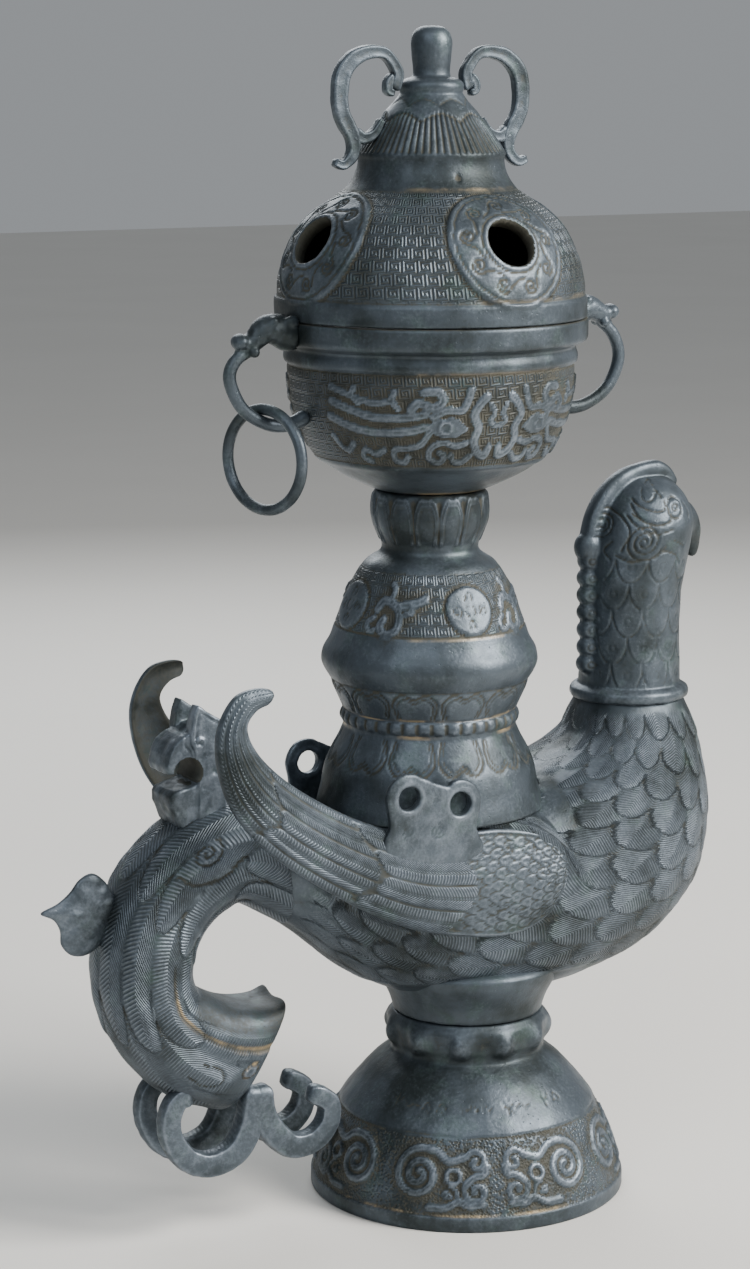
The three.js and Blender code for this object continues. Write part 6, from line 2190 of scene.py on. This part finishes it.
@dataclass
class BowlHandle:
    """A beast head that bites the rim and holds a round loop."""

    side: int = -1
    droop: float = 0.16
    long: float = 35.0
    rim_radius: float = 67.7
    rim_top: float = 391.4

    def build(self) -> None:
        """Builds, fuses and dresses the handle."""
        wall, top = self.rim_radius * 0.96, self.rim_top
        d = self.droop

        def at(x: float, z: float) -> list:
            """A place in the middle plane.

            Args:
                x: Share of the length outward from the rim.
                z: Share of the length above the rim.

            Returns:
                The place in millimetres.
            """
            return [STEM_X + self.side * (wall + self.long * x), top + self.long * z]
        loop = bar([at(0.58, -0.12 - d), at(0.82, -0.34 - d / 2), at(0.9, -0.65), at(0.73, -1.0),
                    at(0.4, -1.2), at(0.1, -1.22), at(-0.16, -1.12)],
                   [5.4, 5.6, 5.6, 5.5, 5.6, 6.2, 7.0], [5.4, 5.6, 5.6, 5.5, 5.6, 6.4, 7.4], 28, 0.8)
        snout = bar([at(-0.02, -0.12 - d), at(0.14, -0.05 - d / 2), at(0.4, 0.02 - d / 2), at(0.6, -0.05 - d),
                     at(0.75, -0.1 - d)],
                    [14.0, 14.6, 12.6, 9.4, 7.0], [14.6, 14.6, 12.8, 10.4, 8.6], 32, 0.8)
        parts = [sheet(name, made["places"], np.zeros(made["angle"].shape)) for name,
                 made in (("loop", loop), ("snout", snout))]
        nose = at(0.76, -0.04 - d)
        parts.append(ball(nose[0], 0, nose[1], 4.2, (0.9, 1.2, 0.85)))
        for ear in (-1, 1):
            spot, eye, lip = at(0.13, 0.10 - d / 2), at(0.36, 0.12 - d / 2), at(0.62, -0.16 - d)
            parts.append(ball(spot[0], ear * 5.2, spot[1], 2.9, (1.4, 0.8, 1.0)))
            parts.append(ball(eye[0], ear * 4.3, eye[1], 2.0))
            parts.append(ball(lip[0], ear * 3.6, lip[1], 2.4))
        name = "rear" if self.side < 0 else "front"
        piece = fuse("carved_handle_" + name, parts, 0.84, 4)
        places, out = places_of(piece), normals_of(piece)
        high = at(0, -0.25)[1]
        lump = (grain(places, 4.0, 71) * smooth(high - 3, high + 3, places[:, 2])
                + 0.4 * grain(places, 9.0, 72))
        lift = 0.1 * lump
        radius = np.hypot(places[:, 0] - STEM_X, places[:, 1])
        inside = np.maximum(0, 68.0 - radius) * (places[:, 2] > 381)
        places = places + out * lift[:, None]
        shift = np.stack([self.side * inside, 0 * inside, 0 * inside], 1)
        move_to(piece, places + shift)
        mark(piece, np.clip(0.5 + 0.08 * lump, 0, 1))
        dress(piece, "bowl_handle_" + name, Fine.PLAIN)


@dataclass
class LooseRing:
    """The plain ring that hangs in the rear loop."""

    across: float = 48.0
    bar: float = 5.2
    turn: float = -70.0

    def build(self) -> None:
        """Builds and dresses the ring where its node is."""
        low, high = (np.array(corner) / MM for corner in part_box("loose_ring"))
        middle = (low + high) / 2
        radius = (self.across - self.bar) / 2
        deselect()
        bpy.ops.mesh.primitive_torus_add(major_segments=160, minor_segments=28, major_radius=radius * MM,
                                         minor_radius=self.bar / 2 * MM,
                                         location=tuple(middle * MM), rotation=(math.pi / 2, 0,
                                                                                math.radians(self.turn)))
        piece = bpy.context.object
        piece.name = piece.data.name = "hanging_ring"
        bpy.ops.object.transform_apply(location=True, rotation=True, scale=True)
        places, out = places_of(piece), normals_of(piece)
        lump = grain(places, 12.0, 81)
        turn = np.arctan2(places[:, 2] - middle[2], np.hypot(places[:, 0] - middle[0],
                                                             places[:, 1] - middle[1]))
        inner = np.linalg.norm(places - middle, axis=1) - radius
        flat = smooth(0.6, 1.9, inner) * 0.22
        move_to(piece, places - out * (flat + 0.06 + 0.06 * lump)[:, None])
        mark(piece, np.clip(0.52 + 0.08 * lump - 0.05 * np.sin(2 * turn), 0, 1))
        dress(piece, "loose_ring", Fine.PLAIN)


@dataclass
class LidScroll:
    """A flat scroll from the finial's ring, out and down to the cone's lip."""

    side: int = -1
    high: float = 50.0
    ring_radius: float = 8.7
    lid_top: float = 446.7

    def build(self) -> None:
        """Builds and dresses the scroll."""
        root, foot = self.ring_radius * 1.56, self.lid_top + 3.8

        def at(x: float, z: float) -> list:
            """A place in the middle plane.

            Args:
                x: Share of the height outward from the finial's ring.
                z: Share of the height above the scroll's foot.

            Returns:
                The place in millimetres.
            """
            return [STEM_X + self.side * (root + self.high * x), foot + self.high * z]
        main = bar([at(0.105, 0.735), at(0.075, 0.80), at(0.07, 0.9), at(0.2, 1.045), at(0.425, 1.03),
                    at(0.575, 0.9), at(0.615, 0.72), at(0.595, 0.54), at(0.5, 0.36),
                    at(0.49, 0.22), at(0.58, 0.125), at(0.68, 0.15)],
                   [5.6, 5.2, 5.0, 5.8, 7.0, 7.6, 7.6, 7.2, 7.4, 6.0, 5.0, 3.6], [4.9] * 12, 40, 0.75, 0.42)
        spur = bar([at(0.5, 0.40), at(0.4, 0.34), at(0.29, 0.38), at(0.21, 0.50)], [7.0, 5.4, 4.2, 2.6],
                   [4.8] * 4, 36, 0.6, 0.45)
        hook = bar([at(0.09, 0.86), at(0.15, 0.80), at(0.15, 0.73), at(0.09, 0.71)], [4.6, 4.4, 4.0, 3.0],
                   [4.8] * 4, 32, 0.6, 0.5)
        parts = []
        for made in (main, spur, hook):
            face = smooth(0.75, 0.95, np.abs(np.sin(made["angle"])))
            groove = face * np.exp(-((np.cos(made["angle"]) / 0.22) ** 2)) * made["close"]
            lift = -0.35 * groove
            places = made["places"] + made["out"] * lift[..., None]
            lump = grain(places.reshape(-1, 3), 8.0, 91).reshape(lift.shape)
            places += made["out"] * (0.1 * (lump - 1) * made["close"])[..., None]
            # The centre groove goes darker: partly dark deposit, partly painted shade.
            parts.append(sheet("scroll", places, np.clip(0.56 + 0.5 * lift + 0.05 * lump, 0, 1)))
        choose(parts[0])
        for part in parts[1:]:
            part.select_set(True)
        bpy.ops.object.join()
        piece = bpy.context.object
        name = "rear" if self.side < 0 else "front"
        piece.name = piece.data.name = "carved_scroll_" + name
        dress(piece, "lid_scroll_" + name, Fine.PLAIN)


def main() -> None:
    """Builds the burner's pieces in order."""
    logging.basicConfig(level=logging.INFO, format="%(name)s %(message)s")
    sets = [Studio(), Foot(), Stem(), Bowl(), Lid(), Bird(), Head(), Wing(-1), Wing(1), BeastHead(),
            TailCurls(-1), TailCurls(1),
            BowlHandle(-1, 0.16), BowlHandle(1, 0.0), LooseRing(), LidScroll(-1), LidScroll(1)]
    for made in sets:
        made.build()
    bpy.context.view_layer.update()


if __name__ == "__main__":
    main()
